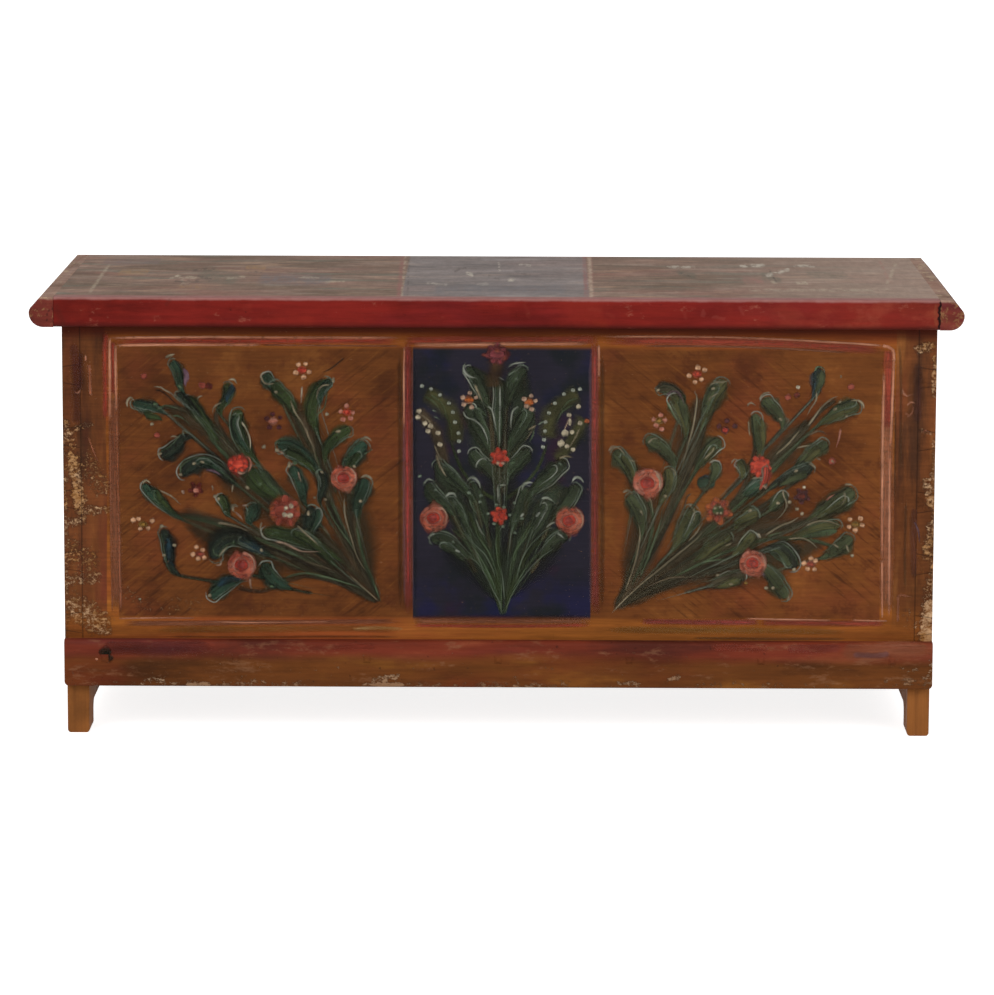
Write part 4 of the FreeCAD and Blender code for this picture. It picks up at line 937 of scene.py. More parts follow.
    ("leaf", "red", 9, (766, 466), (766, 475), (763, 485)),
    ("line", "shell", 2.8, (763, 485), (767, 489)),
    ("disc", "rose", 4.0, 832, 461),
    ("dab", "cream", 2.6, (831, 460), (834, 462)),
    ("star", "plum", 802, 496, 9.5, 5),
    ("disc", "maroon", 3.4, 802, 496),
    ("disc", "white", 1.8, 804, 487),
    ("star", "orange", 718, 510, 15, 6),
    ("star", "rose", 718, 510, 12, 5),
    ("disc", "green", 6.4, 718, 510),
    ("string", "cream", 1.5, (715, 508), (720, 507), (717, 513), (721, 513)),
    ("rose", 648, 483, 15.5),
    ("arc", "white", 3.0, 648, 483, 12, -50, 30),
    ("rose", 753, 563, 14.0),
)


def tint(code):
    """A colour as it is seen, in six hex digits, made linear."""
    shares = [int(code[i:i + 2], 16) / 255 for i in (0, 2, 4)]
    return [s / 12.92 if s <= 0.04045 else ((s + 0.055) / 1.055) ** 2.4 for s in shares] + [1.0]


def ease(share):
    """Runs smoothly from 0 to 1."""
    share = max(0.0, min(1.0, share))
    return share * share * (3.0 - 2.0 * share)


def camera_axes():
    """The camera's right, ahead and up directions."""
    yaw = Matrix.Rotation(CAMERA_YAW, 3, "Z")
    pitch = Matrix.Rotation(-CAMERA_PITCH, 3, "X")
    roll = Matrix.Rotation(CAMERA_ROLL, 3, "Y")
    turn = yaw @ pitch @ roll
    return turn.col[0].copy(), turn.col[1].copy(), turn.col[2].copy()


def ray_through(pixel):
    """The direction from the camera in which it sees a pixel of the photograph."""
    right, ahead, up = camera_axes()
    across = (pixel[0] - PICTURE_MIDDLE[0]) / FOCAL
    rise = (PICTURE_MIDDLE[1] - pixel[1]) / FOCAL
    return ahead + right * across + up * rise


def on_plane(pixel, plane):
    """The place, across and up, that a pixel of the photograph shows on an upright face at that depth."""
    ray = ray_through(pixel)
    spot = CAMERA_AT + ray * ((plane - CAMERA_AT.y) / ray.y)
    return Vector((spot.x, spot.z))


def on_face(pixel, plane):
    """The same, as a place in space without its depth."""
    across, up = on_plane(pixel, plane)
    return Vector((across, 0.0, up))


def on_top(pixel):
    """The place on the lid's top that a pixel shows, its depth shortened as it looks in the photograph."""
    ray = ray_through(pixel)
    spot = CAMERA_AT + ray * ((lid_high.z - CAMERA_AT.z) / ray.z)
    return Vector((spot.x, spot.y * FORESHORTENED, 0.0))


def follow(way, share):
    """The place at a share of a smooth way through points, and the direction to its side."""
    last = len(way) - 1
    at = min(share * last, last - 0.000001)
    here = int(at)
    t = at - here
    a = way[max(here - 1, 0)]
    b = way[here]
    c = way[here + 1]
    d = way[min(here + 2, last)]
    first = c - a
    second = 2.0 * a - 5.0 * b + 4.0 * c - d
    third = 3.0 * b - a - 3.0 * c + d
    spot = (2.0 * b + first * t + second * t * t + third * t * t * t) / 2.0
    slope = first + 2.0 * second * t + 3.0 * third * t * t
    return spot, Vector((-slope.y, slope.x)).normalized()


def beside(points, offset):
    """The same way, moved sideways."""
    way = [Vector(point) for point in points]
    moved = []
    for place, spot in enumerate(way):
        ahead = way[min(place + 1, len(way) - 1)] - way[max(place - 1, 0)]
        moved.append(tuple(spot + Vector((-ahead.y, ahead.x)).normalized() * offset))
    return moved


class Brushwork:
    """Painted strokes on an upright face: thin closed ribbons, each a little over the one before it."""

    def __init__(self, name, plane, slot, root, seed):
        self.name = name
        self.plane = plane
        self.slot = slot
        self.root = root
        self.batches = []
        self.fresh_batch()
        self.chance = random.Random(seed)
        self.height = FIRST_COAT

    def fresh_batch(self):
        """Opens an empty mesh for the next strokes, because a small one is quicker to work in."""
        self.mesh = bmesh.new()
        self.hue = self.mesh.verts.layers.float_color.new("hue")
        self.brush = self.mesh.verts.layers.float_vector.new("brush")

    def close_batch(self):
        bmesh.ops.recalc_face_normals(self.mesh, faces=self.mesh.faces)
        batch = bpy.data.meshes.new(self.name + "_batch")
        self.mesh.to_mesh(batch)
        self.mesh.free()
        self.batches.append(batch)

    def stroke(self, kind, hue, width, *points):
        """One stroke through pixels of the photograph, as wide as that many pixels."""
        rise, fall, blunt, wide_share, cover = STROKES[kind]
        way = [on_plane(point, self.plane) for point in points]
        spans = [(b - a).length for a, b in zip(way, way[1:])]
        length = sum(spans)
        wide = width * wide_share * PIXEL
        steps = max(FEWEST, min(MOST, round(length / STEP)))
        rows = WIDE_ROWS if kind in WIDE else FINE_ROWS if kind in FINE else ROWS
        ragged = 1.0 if kind in RAGGED else 0.5
        shade = self.chance.uniform(0.86, 1.14)
        one, other = (tint(code) for code in HUES[hue])
        place = self.chance.uniform(-9.0, 9.0)
        bend = self.chance.uniform(0.0, math.tau)
        turned = self.chance.choice((-0.9, 0.9))
        softness = 1.8 if rows == WIDE_ROWS and kind not in SOFT else 1.3
        grid = bmesh.ops.create_grid(self.mesh, x_segments=steps, y_segments=rows, size=0.5)
        self.height += COAT
        for corner in grid["verts"]:
            along = corner.co.x + 0.5
            across = corner.co.y + 0.5
            swell = ease(along / rise) * ease((1.0 - along) / fall)
            swell = max(swell, 0.02) ** blunt
            waver = WAVER * ragged * math.sin(9.0 * along + bend + 4.0 * across)
            waver += RIPPLE * ragged * math.sin(23.0 * along - bend + 2.0 * across)
            swell *= 1.0 + waver
            spot, side = follow(way, along)
            spot = spot + side * (across - 0.5) * wide * swell
            corner.co = (spot.x, self.plane - self.height, spot.y)
            lit = ease(0.5 + turned * (across - 0.5) + 0.35 * math.sin(7.0 * along + bend))
            colour = [shade * (a + (b - a) * lit) for a, b in zip(one[:3], other[:3])]
            edge = 2.0 * min(across, 1.0 - across, 3.0 * along, 3.0 * (1.0 - along))
            corner[self.hue] = (*colour, cover * ease(edge * softness))
            corner[self.brush] = (along * length, (across - 0.5) * wide, place)
        faces = {face for corner in grid["verts"] for face in corner.link_faces}
        sunk = bmesh.ops.extrude_face_region(self.mesh, geom=list(faces))["geom"]
        for corner in sunk:
            if isinstance(corner, bmesh.types.BMVert):
                corner.co.y = self.plane + SUNK

    def leaf(self, hue, width, *points):
        """A comma of paint, blunt at its tip, whose tail bends towards the spray's root."""
        if (Vector(points[-1]) - Vector(points[-2])).dot(self.root - Vector(points[-1])) < 0.0:
            points = points[::-1]
        before, foot = (Vector(point) for point in points[-2:])
        way = self.root - foot
        length = (foot - Vector(points[0])).length
        bend = ((foot - before).normalized() + way.normalized()).normalized()
        tail = foot + bend * TAIL * length
        points = (*points, tuple(tail))
        if width > STALKED:
            reach = tuple(tail + (self.root - tail) * 0.22)
            middle = tuple(foot + bend * 0.3 * length)
            self.stroke("mass", self.chance.choice(("bark", "olive")), 4.6, points[-2], middle, reach)
            self.stroke("under", "brown", width, *points)
        self.stroke("leaf", hue, width, *points)
        if width > VEINED:
            side = self.chance.choice((-0.28, 0.28)) * width
            self.stroke("vein", self.chance.choice(("reed", "pale")), 2.0, *beside(points, side))
            self.stroke("vein", "night", 2.4, *beside(points, -side))
            self.stroke("vein", self.chance.choice(("fern", "sage")), 1.8, *beside(points, -0.2 * side))
            self.outline(width, side, tail, points)

    def outline(self, width, side, tail, points):
        """Light lines round a leaf's tip, down one side of it, and along its stalk."""
        near = [Vector(point) for point in beside(points, 1.5 * side)]
        far = [Vector(point) for point in beside(points, -1.3 * side)]
        tip = Vector(points[0])
        tip += (tip - Vector(points[1])).normalized() * 0.04 * width
        turn = (far[0].lerp(far[1], 0.20), tip, near[0].lerp(near[1], 0.24))
        rim = [tuple(point) for point in (*turn, *near[1:-2], near[-2].lerp(Vector(points[-2]), 0.5))]
        self.stroke("line", self.chance.choice(("reed", "frost", "reed")), 2.0, *rim)
        stalk = (points[-2], tuple(tail), tuple(tail.lerp(self.root, 0.55)))
        self.stroke("vein", self.chance.choice(("reed", "sage", "pale")), 2.0, *stalk)

    def disc(self, hue, radius, x, y, kind="round"):
        """A round spot of paint."""
        self.stroke(kind, hue, 2.0 * radius, (x - radius, y), (x, y), (x + radius, y))

    def arc(self, hue, width, x, y, radius, start, end, kind="line"):
        """A stroke round a middle, between two angles in degrees, counted clockwise from the right."""
        count = 9
        turns = [math.radians(start + (end - start) * i / (count - 1)) for i in range(count)]
        points = [(x + radius * math.cos(turn), y + radius * math.sin(turn)) for turn in turns]
        self.stroke(kind, hue, width, *points)

    def dots(self, hue, heart, x, y, *places):
        """Small petals set close round a middle."""
        self.disc(heart, 5.4, x, y, "wash")
        for across, down in places:
            petal = (x + 0.88 * (across - x), y + 0.88 * (down - y))
            self.disc(hue, self.chance.uniform(2.4, 3.0), *petal)
        self.disc(heart, 2.2, x, y)

    def string(self, hue, radius, *places):
        """A string of spots."""
        for place in places:
            self.disc(hue, radius, *place)

    def rose(self, x, y, radius):
        """A round rose: a soft disc, broken rings of petals, paler at one side, and a dark heart."""
        self.disc("maroon", 1.06 * radius, x, y, "wash")
        self.disc("coral", 1.0 * radius, x, y)
        for petal in range(7):
            start = 51.0 * petal + self.chance.uniform(-16.0, 16.0)
            far = self.chance.uniform(0.74, 0.84)
            hue = self.chance.choice(("pink", "coral", "rose", "blush"))
            self.arc(hue, 0.26 * radius, x, y, far * radius, start, start + 48.0, "band")
        self.arc("shell", 0.18 * radius, x, y, 0.88 * radius, -70.0, 50.0, "line")
        self.disc("pink", 0.66 * radius, x - 0.06 * radius, y, "wash")
        self.disc("red", 0.50 * radius, x - 0.06 * radius, y)
        self.arc("pink", 0.16 * radius, x - 0.06 * radius, y, 0.50 * radius, 100.0, 400.0, "line")
        self.disc("crimson", 0.28 * radius, x - 0.06 * radius, y)

    def star(self, hue, x, y, radius, petals=8):
        """A flower of short petals round a full middle."""
        for petal in range(petals):
            turn = math.tau * (petal + 0.3) / petals
            reach = radius * self.chance.uniform(0.86, 1.08)
            near = (x + 0.2 * radius * math.cos(turn), y + 0.2 * radius * math.sin(turn))
            tip = (x + reach * math.cos(turn), y + reach * math.sin(turn))
            self.stroke("dab", hue, 0.66 * radius, near, tip)
        self.disc(hue, 0.62 * radius, x, y)

    def paint(self, strokes):
        """Lays a table of strokes: kind, hue, width, and then the points or the radius."""
        for place, (kind, *rest) in enumerate(strokes):
            if place % BATCH == BATCH - 1:
                self.close_batch()
                self.fresh_batch()
            if hasattr(self, kind):
                getattr(self, kind)(*rest)
            else:
                self.stroke(kind, *rest)

    def finish(self, material):
        self.close_batch()
        whole = bmesh.new()
        for batch in self.batches:
            whole.from_mesh(batch)
            bpy.data.meshes.remove(batch)
        mesh = bpy.data.meshes.new(self.name)
        whole.to_mesh(mesh)
        whole.free()
        piece = bpy.data.objects.new(self.name, mesh)
        bpy.context.scene.collection.objects.link(piece)
        mesh.materials.append(material)
        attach(piece, "carcass")


class Finish:
    """One material. Each method adds a node and returns the socket that carries its result."""

    def __init__(self, name):
        self.material = bpy.data.materials.new(name)
        self.material.use_nodes = True
        self.tree = self.material.node_tree
        self.shader = self.tree.nodes["Principled BSDF"]
        self.at = self.tree.nodes.new("ShaderNodeTexCoord").outputs["Object"]
        self.x, self.y, self.z = self.add("ShaderNodeSeparateXYZ", {"Vector": self.at}).outputs

    def add(self, kind, inputs, **settings):
        made = self.tree.nodes.new(kind)
        for name, value in settings.items():
            setattr(made, name, value)
        for key, value in inputs.items():
            self.feed(made.inputs[key], value)
        return made

    def feed(self, socket, value):
        if isinstance(value, bpy.types.NodeSocket):
            self.tree.links.new(value, socket)
        else:
            socket.default_value = value

    def sum(self, operation, *values):
        made = self.add("ShaderNodeMath", dict(enumerate(values)), operation=operation)
        return made.outputs[0]

    def plus(self, a, b):
        return self.sum("ADD", a, b)

    def minus(self, a, b):
        return self.sum("SUBTRACT", a, b)

    def times(self, a, b):
        return self.sum("MULTIPLY", a, b)

    def most(self, a, b):
        return self.sum("MAXIMUM", a, b)

    def ramp(self, value, start, end, low=0.0, high=1.0):
        """Runs smoothly from low where value is at start to high where it is at end."""
        inputs = {"Value": value, "From Min": start, "From Max": end, "To Min": low, "To Max": high}
        return self.add("ShaderNodeMapRange", inputs, interpolation_type="SMOOTHSTEP").outputs[0]

    def within(self, value, low, high, soft=0.0006):
        """One between low and high, fading out over soft at both ends."""
        off = self.sum("ABSOLUTE", self.minus(value, (low + high) / 2))
        return self.ramp(off, (high - low) / 2 + soft, (high - low) / 2 - soft)

    def mix(self, share, a, b):
        made = self.add("ShaderNodeMix", {0: share, 6: a, 7: b}, data_type="RGBA")
        return made.outputs[2]

    def over(self, colour, share, code):
        """Lays a colour, in six hex digits, over another one by a share."""
        return self.mix(share, colour, tint(code))

    def tone(self, colour, strength):
        """Makes a colour lighter or darker by a factor."""
        made = self.add("ShaderNodeVectorMath", {0: colour, "Scale": strength}, operation="SCALE")
        return made.outputs[0]

    def stretched(self, across, along, up, vector=None):
        factors = {0: vector or self.at, 1: (across, along, up)}
        return self.add("ShaderNodeVectorMath", factors, operation="MULTIPLY").outputs[0]

    def noise(self, scale, detail=4.0, rough=0.55, vector=None, shift=0.0):
        inputs = {"Scale": scale, "Detail": detail, "Roughness": rough, "W": shift}
        inputs["Vector"] = vector or self.at
        made = self.add("ShaderNodeTexNoise", inputs, noise_dimensions="4D")
        return made.outputs["Fac"]

    def vector(self, operation, *values, result=0):
        made = self.add("ShaderNodeVectorMath", dict(enumerate(values)), operation=operation)
        return made.outputs[result]

    def near(self, at, start, end, inner, outer):
        """One near a straight line between two places, falling to nothing at the outer distance."""
        off = self.vector("SUBTRACT", at, start)
        way = end - start
        share = self.vector("DOT_PRODUCT", off, way / way.length_squared, result="Value")
        kept = self.add("ShaderNodeMath", {0: share, 1: 1.0}, operation="MULTIPLY", use_clamp=True)
        gap = self.vector("DISTANCE", off, self.tone(way, kept.outputs[0]), result="Value")
        return self.ramp(gap, outer, inner)

    def shaken(self, stretch, amount, scale):
        """The place on a face, pushed about a little, so that what is drawn there has uneven edges."""
        made = self.add("ShaderNodeTexNoise", {"Vector": self.at, "Scale": scale, "Detail": 4.0})
        waves = self.vector("SUBTRACT", made.outputs["Color"], (0.5, 0.5, 0.5))
        return self.vector("MULTIPLY_ADD", waves, amount, self.stretched(*stretch))

    def relief(self, height, depth):
        """Gives the surface the relief of a height that runs from 0 to 1, depth metres deep."""
        bump = self.add("ShaderNodeBump", {"Height": height, "Distance": depth, "Strength": 1.0})
        self.feed(self.shader.inputs["Normal"], bump.outputs[0])

    def done(self, colour, rough, specular=0.5):
        self.feed(self.shader.inputs["Base Color"], colour)
        self.feed(self.shader.inputs["Roughness"], rough)
        self.shader.inputs["Specular IOR Level"].default_value = specular
        return self.material


def pine(f, pale="8a5a34", deep="5a351b", along="x"):
    """Bare pine: long grain lines, wider rings and a few darker streaks. Returns its colour and height."""
    squeeze = {"x": (0.05, 1.0, 1.0), "y": (1.0, 0.05, 1.0), "z": (1.0, 1.0, 0.05)}[along]
    flow = f.stretched(*squeeze)
    fine = f.noise(420.0, 3.0, 0.6, flow)
    rings = f.noise(60.0, 2.0, 0.4, flow, 3.0)
    bands = f.sum("PINGPONG", f.times(rings, 7.0), 1.0)
    grain = f.plus(f.times(fine, 0.55), f.times(bands, 0.45))
    colour = f.mix(grain, tint(deep), tint(pale))
    colour = f.over(colour, f.ramp(f.noise(9.0, 3.0), 0.35, 0.75, 0.0, 0.5), deep)
    return colour, grain


def dirty(f, colour, amount=0.35, shift=11.0):
    """Rubs dark dirt into a colour in soft clouds."""
    clouds = f.ramp(f.noise(14.0, 5.0, 0.6, None, shift), 0.42, 0.72, 0.0, amount)
    return f.mix(clouds, colour, tint("22140d"))


# The painted front, in metres across and up
FIELD_LEFT, FIELD_RIGHT = -0.5300, 0.5410
FIELD_LOW, FIELD_HIGH = 0.1665, 0.5500
MIDDLE_FIELD = (-0.1165, 0.1335)
STILE_LEFT = (-0.546, -0.5475)
STILE_RIGHT = (0.5575, 0.559)
STILE_FOOT = (0.20, 0.14)
DEEP_BLUE = (0.235, 0.185)
# Heights where the painted shadow and soot under the lid begin and are full
LID_SHADOW_AND_SOOT = (0.556, 0.576)
DIAGONAL = math.radians(38)
COMB_FINE, COMB_LONG = 170.0, 14.0

# The dovetails of the front corners: from one to the next, half the narrow end of a pin, how it
# widens, and half the width of the crack round it
DOVETAIL_PITCH = 0.088
DOVETAIL_HALF = 0.011
DOVETAIL_FLARE = 4.0 / 25.0
CRACK = 0.0008
SLOPED_CRACK = 0.0007
CRACK_SOFT = 0.0005

# How deep paint reaches round an edge, from where it ends to where it is whole
PAINT_EDGE = (0.0012, 0.0006)

# The lid's top: its middle field, and the pink along its front edge
LID_FIELD = (-0.133, 0.130)
LID_EDGE = (0.046, 0.026)

# How much light the paint throws back, and how dark a joint shows in it
PAINT_GLOSS = 0.08
JOINT_DARK = 0.45


def blotches(f, dark, middle, light, red, shift, across=0.45, up=1.0, marked=0.20):
    """Old hand-laid paint: soft clouds of three tones, a red cast and fine level brush marks."""
    flow = f.stretched(across, 1.0, up)
    clouds = f.noise(11.0, 6.0, 0.62, flow, shift)
    colour = f.mix(f.ramp(clouds, 0.36, 0.52), tint(dark), tint(middle))
    colour = f.over(colour, f.ramp(clouds, 0.52, 0.68), light)
    casts = f.ramp(f.noise(8.0, 4.0, 0.6, flow, shift + 1.0), 0.48, 0.66, 0.0, 0.6)
    colour = f.over(colour, casts, red)
    marks = f.noise(95.0, 5.0, 0.66, f.stretched(0.22 * across, 1.0, up), shift + 2.0)
    return f.tone(colour, f.ramp(marks, 0.30, 0.70, 1.0 - marked, 1.0 + marked))


def front_ground(f):
    """The colours painted on the front wall: brown and indigo fields on an ochre ground, marbled stiles,
    painted light growing towards the right and a painted shadow under the lid.
    """
    x = f.plus(f.x, f.times(f.minus(f.noise(5.0, 2.0, 0.5, None, 1.0), 0.5), 0.004))
    z = f.plus(f.z, f.times(f.minus(f.noise(6.0, 2.0, 0.5, None, 2.0), 0.5), 0.004))
    brown = blotches(f, "4f2a12", "643818", "774720", "6b351d", 4.0, 0.9, 1.0, 0.10)
    # Painted light: the brown is lighter towards the right, where the light falls brighter, and a little
    # darker towards the top
    brown = f.tone(brown, f.ramp(f.x, 0.06, 0.50, 1.0, 1.28))
    brown = f.tone(brown, f.ramp(f.z, 0.34, 0.50, 1.05, 0.93))
    stains = f.ramp(f.noise(26.0, 6.0, 0.66, f.stretched(0.9, 1.0, 1.0), 17.0), 0.54, 0.66, 0.0, 0.55)
    brown = f.over(brown, stains, "4a2413")

    # Fine comb strokes in the brown, leaning apart on the two sides
    mirrored = f.sum("ABSOLUTE", f.minus(f.x, (LEFT + RIGHT) / 2))
    lean = f.plus(f.times(mirrored, -math.sin(DIAGONAL)), f.times(f.z, -math.cos(DIAGONAL)))
    run = f.plus(f.times(mirrored, math.cos(DIAGONAL)), f.times(f.z, -math.sin(DIAGONAL)))
    scaled = {"X": f.times(lean, COMB_FINE), "Y": f.times(run, COMB_LONG)}
    comb_at = f.add("ShaderNodeCombineXYZ", scaled).outputs[0]
    comb = f.noise(1.0, 4.0, 0.62, comb_at, 6.0)
    patchy = f.ramp(f.noise(6.0, 3.0, 0.5, None, 16.0), 0.42, 0.62, 0.15, 1.0)
    brown = f.over(brown, f.times(patchy, f.ramp(comb, 0.52, 0.68, 0.0, 0.60)), "2e160a")
    brown = f.over(brown, f.times(patchy, f.ramp(comb, 0.46, 0.30, 0.0, 0.35)), "8a5624")

    indigo = f.mix(f.noise(11.0, 6.0, 0.6, None, 7.0), tint("17151c"), tint("292631"))
    casts = f.noise(13.0, 5.0, 0.6, None, 8.0)
    indigo = f.over(indigo, f.ramp(casts, 0.52, 0.66, 0.0, 0.6), "1c1b38")
    greenish = f.ramp(f.noise(15.0, 4.0, 0.5, None, 18.0), 0.50, 0.66, 0.0, 0.7)
    indigo = f.over(indigo, greenish, "121817")
    reddish = f.ramp(f.noise(14.0, 4.0, 0.5, None, 19.0), 0.58, 0.70, 0.0, 0.6)
    indigo = f.over(indigo, reddish, "2c1424")
    clouds = f.ramp(f.noise(17.0, 3.0, 0.5, None, 28.0), 0.46, 0.60)
    deep_blue = f.times(f.ramp(f.z, *DEEP_BLUE), clouds)
    indigo = f.over(indigo, f.times(deep_blue, 0.45), "171842")

    ochre = blotches(f, "6e3b16", "8c511f", "a76829", "904224", 9.0, 0.22)
    stile = blotches(f, "3f2516", "5f351a", "7a4b24", "58231b", 10.0, 2.2, 0.30)
    # Painted light: the right stile lighter than the left, where the light falls brighter
    stile = f.tone(stile, f.ramp(f.x, 0.0, 0.1, 1.0, 1.46))
    low = f.times(f.ramp(f.z, 0.46, 0.34), f.ramp(f.x, 0.0, 0.1, 0.38, -0.30))
    stile = f.tone(stile, f.plus(1.0, low))
    outside = f.most(f.ramp(x, *STILE_LEFT), f.ramp(x, *STILE_RIGHT))
    stile = f.mix(f.ramp(f.z, *STILE_FOOT), stile, ochre)
    colour = f.mix(outside, ochre, stile)
    in_x = f.within(x, FIELD_LEFT, FIELD_RIGHT, 0.0012)
    in_z = f.within(z, FIELD_LOW, FIELD_HIGH, 0.0040)
    colour = f.mix(f.times(in_x, in_z), colour, brown)
    middle = f.times(f.within(f.x, *MIDDLE_FIELD), in_z)
    colour = f.mix(middle, colour, indigo)

    # Painted shadow and soot under the lid, darkest just below it
    shadow_and_soot = f.ramp(f.z, *LID_SHADOW_AND_SOOT, 0.0, 0.9)
    return f.mix(shadow_and_soot, colour, tint("4a170a"))


def from_end(f):
    """How far a place is from the nearer end of the front wall."""
    return f.sum("MINIMUM", f.minus(f.x, LEFT), f.minus(RIGHT, f.x))


def corner_joint(f):
    """Dark cracks along the dovetails of the front corners."""
    reach = from_end(f)
    butt = f.within(reach, WALL - CRACK, WALL + CRACK, CRACK_SOFT)
    level = f.sum("PINGPONG", f.minus(f.z, wall_low.z), DOVETAIL_PITCH / 2)
    edge = f.plus(f.times(reach, DOVETAIL_FLARE), DOVETAIL_HALF)
    slope = f.within(f.minus(level, edge), -SLOPED_CRACK, SLOPED_CRACK, CRACK_SOFT)
    return f.most(butt, f.times(slope, f.ramp(reach, WALL + 0.001, WALL)))


def on_the_front(f):
    """One on the front face of the front wall, nothing behind it."""
    return f.ramp(f.y, FRONT + PAINT_EDGE[0], FRONT + PAINT_EDGE[1])


def on_the_end(f):
    """One on the outer faces at the chest's two ends, nothing between them."""
    return f.ramp(from_end(f), *PAINT_EDGE)


def worn_spots(f, places, plane):
    """How far the paint is worn away in the listed places."""
    at = f.shaken((1.0, 0.0, 1.0), (0.012, 0.0, 0.012), 90.0)
    worn = 0.0
    for share, size, start, end in places:
        spot = f.near(at, on_face(start, plane), on_face(end, plane), 0.25 * size * PIXEL, size * PIXEL)
        worn = f.most(worn, f.times(spot, share))
    return worn


def front_wear(f, paint):
    """Paint lost down to the pale ground: in flakes low on the left stile and along the right edge, with
    specks, scars and dirt everywhere."""
    hair = f.noise(300.0, 3.0, 0.6, f.stretched(0.06, 1.0, 1.0), 20.0)
    paint = f.tone(paint, f.ramp(hair, 0.3, 0.7, 0.88, 1.12))
    worn = worn_spots(f, FRONT_WEAR, FRONT)
    crumbs = f.noise(200.0, 7.0, 0.84, f.stretched(0.8, 1.0, 1.0), 21.0)
    crumbled = f.plus(crumbs, worn)
    lost = f.ramp(crumbled, 0.620, 0.690)
    pale = f.ramp(f.noise(170.0, 6.0, 0.75, f.stretched(0.6, 1.0, 1.0), 25.0), 0.36, 0.64)
    under = f.mix(pale, tint("76481f"), tint("dab38a"))
    under = f.over(under, f.ramp(f.noise(22.0, 3.0, 0.5, None, 26.0), 0.42, 0.6, 0.0, 0.6), "ab773c")
    paint = f.mix(f.times(lost, 0.88), paint, under)
    lip_of_flake = f.within(crumbled, 0.575, 0.630, 0.02)
    paint = f.over(paint, f.times(lip_of_flake, f.ramp(worn, 0.02, 0.10, 0.0, 0.6)), "24130f")
    specks = f.ramp(f.noise(210.0, 4.0, 0.6, None, 22.0), 0.68, 0.76, 0.0, 0.55)
    paint = f.over(paint, specks, "8a6a4e")
    scars = f.ramp(f.noise(150.0, 4.0, 0.6, f.stretched(1.0, 1.0, 0.12), 23.0), 0.70, 0.78, 0.0, 0.5)
    return f.mix(scars, paint, tint("1c100a")), hair, lost


def brush_finish():
    """Strokes of paint with the marks of the bristles, thin along their edges and where they are rubbed."""
    f = Finish("brush_paint")
    hue = f.add("ShaderNodeAttribute", {}, attribute_name="hue").outputs
    lie = f.add("ShaderNodeAttribute", {}, attribute_name="brush").outputs["Vector"]
    bristles = f.noise(1.0, 4.0, 0.66, f.stretched(40.0, 520.0, 1.0, lie), 2.0)
    colour = f.tone(hue["Color"], f.ramp(bristles, 0.25, 0.75, 0.60, 1.45))
    colour = f.over(colour, f.ramp(f.x, -0.25, 0.25, 0.07, 0.15), "5c5848")
    # Painted light: the strokes lighter towards the right, where the light falls brighter
    colour = f.tone(colour, f.ramp(f.x, 0.02, 0.25, 1.0, 1.18))
    colour, hair, lost = front_wear(f, colour)
    rubbed = f.ramp(f.noise(120.0, 6.0, 0.68, None, 41.0), 0.50, 0.74, 1.0, 0.45)
    f.feed(f.shader.inputs["Alpha"], f.times(hue["Alpha"], rubbed))
    f.relief(f.minus(f.times(bristles, 0.4), lost), 0.00015)
    return f.done(colour, f.ramp(hair, 0.2, 0.8, 0.50, 0.68), PAINT_GLOSS)


def wall_front_finish():
    f = Finish("front_paint")
    wood, grain = pine(f)
    paint, hair, lost = front_wear(f, front_ground(f))
    joint = corner_joint(f)
    paint = f.over(paint, f.times(joint, JOINT_DARK), "1c100b")

    side = f.mix(f.noise(30.0, 6.0), tint("4b2417"), tint("6f3b22"))
    colour = f.mix(on_the_end(f), wood, side)
    colour = f.mix(on_the_front(f), colour, paint)
    height = f.minus(f.times(grain, 0.35), f.plus(f.times(lost, 0.6), joint))
    f.relief(height, 0.0006)
    rough = f.ramp(hair, 0.2, 0.8, 0.50, 0.68)
    return f.done(colour, rough, PAINT_GLOSS)


def wall_finish():
    """Side walls: thin red-brown paint outside, worn at the edges, and bare pine inside."""
    f = Finish("wall_paint")
    wood, grain = pine(f, along="y")
    paint = f.mix(f.noise(16.0, 6.0, 0.6, f.stretched(1.0, 0.4, 1.0)), tint("4b2417"), tint("744023"))
    paint = f.over(paint, f.ramp(f.noise(7.0, 4.0, 0.6, None, 5.0), 0.45, 0.7, 0.0, 0.5), "5f2419")
    low = f.ramp(f.z, 0.16, 0.07, 0.0, 0.12)
    high = f.ramp(f.z, 0.56, 0.598, 0.0, 0.08)
    front = f.ramp(f.y, FRONT + 0.05, FRONT, 0.0, 0.13)
    ends = f.plus(f.plus(low, high), front)
    lost = f.ramp(f.plus(f.noise(60.0, 7.0, 0.7, f.stretched(1.0, 0.6, 1.0), 21.0), ends), 0.66, 0.71)
    paint = f.mix(lost, paint, f.mix(grain, tint("7a4d2a"), tint("a87c50")))
    paint = dirty(f, paint, 0.45)
    outside = on_the_end(f)
    face = on_the_front(f)
    strip = front_wear(f, front_ground(f))[0]
    colour = f.mix(outside, wood, paint)
    colour = f.mix(face, colour, strip)
    joint = corner_joint(f)
    colour = f.over(colour, f.times(f.times(joint, face), JOINT_DARK), "1c100b")
    f.relief(f.minus(f.times(grain, 0.5), lost), 0.0005)
    return f.done(colour, f.ramp(grain, 0.2, 0.8, 0.5, 0.68), PAINT_GLOSS)


def skirting_ground(f):
    """Purple-red above and brown below, in long level clouds."""
    upper = blotches(f, "52241a", "73301f", "8b482d", "5b2d36", 33.0, 0.30)
    lower = blotches(f, "46260f", "683a18", "87541f", "6a2917", 36.0, 0.30)
    drift = f.plus(f.z, f.times(f.minus(f.noise(9.0, 5.0, 0.6, f.stretched(0.4, 1.0, 1.0)), 0.5), 0.030))
    return f.mix(f.ramp(drift, 0.104, 0.122), lower, upper)


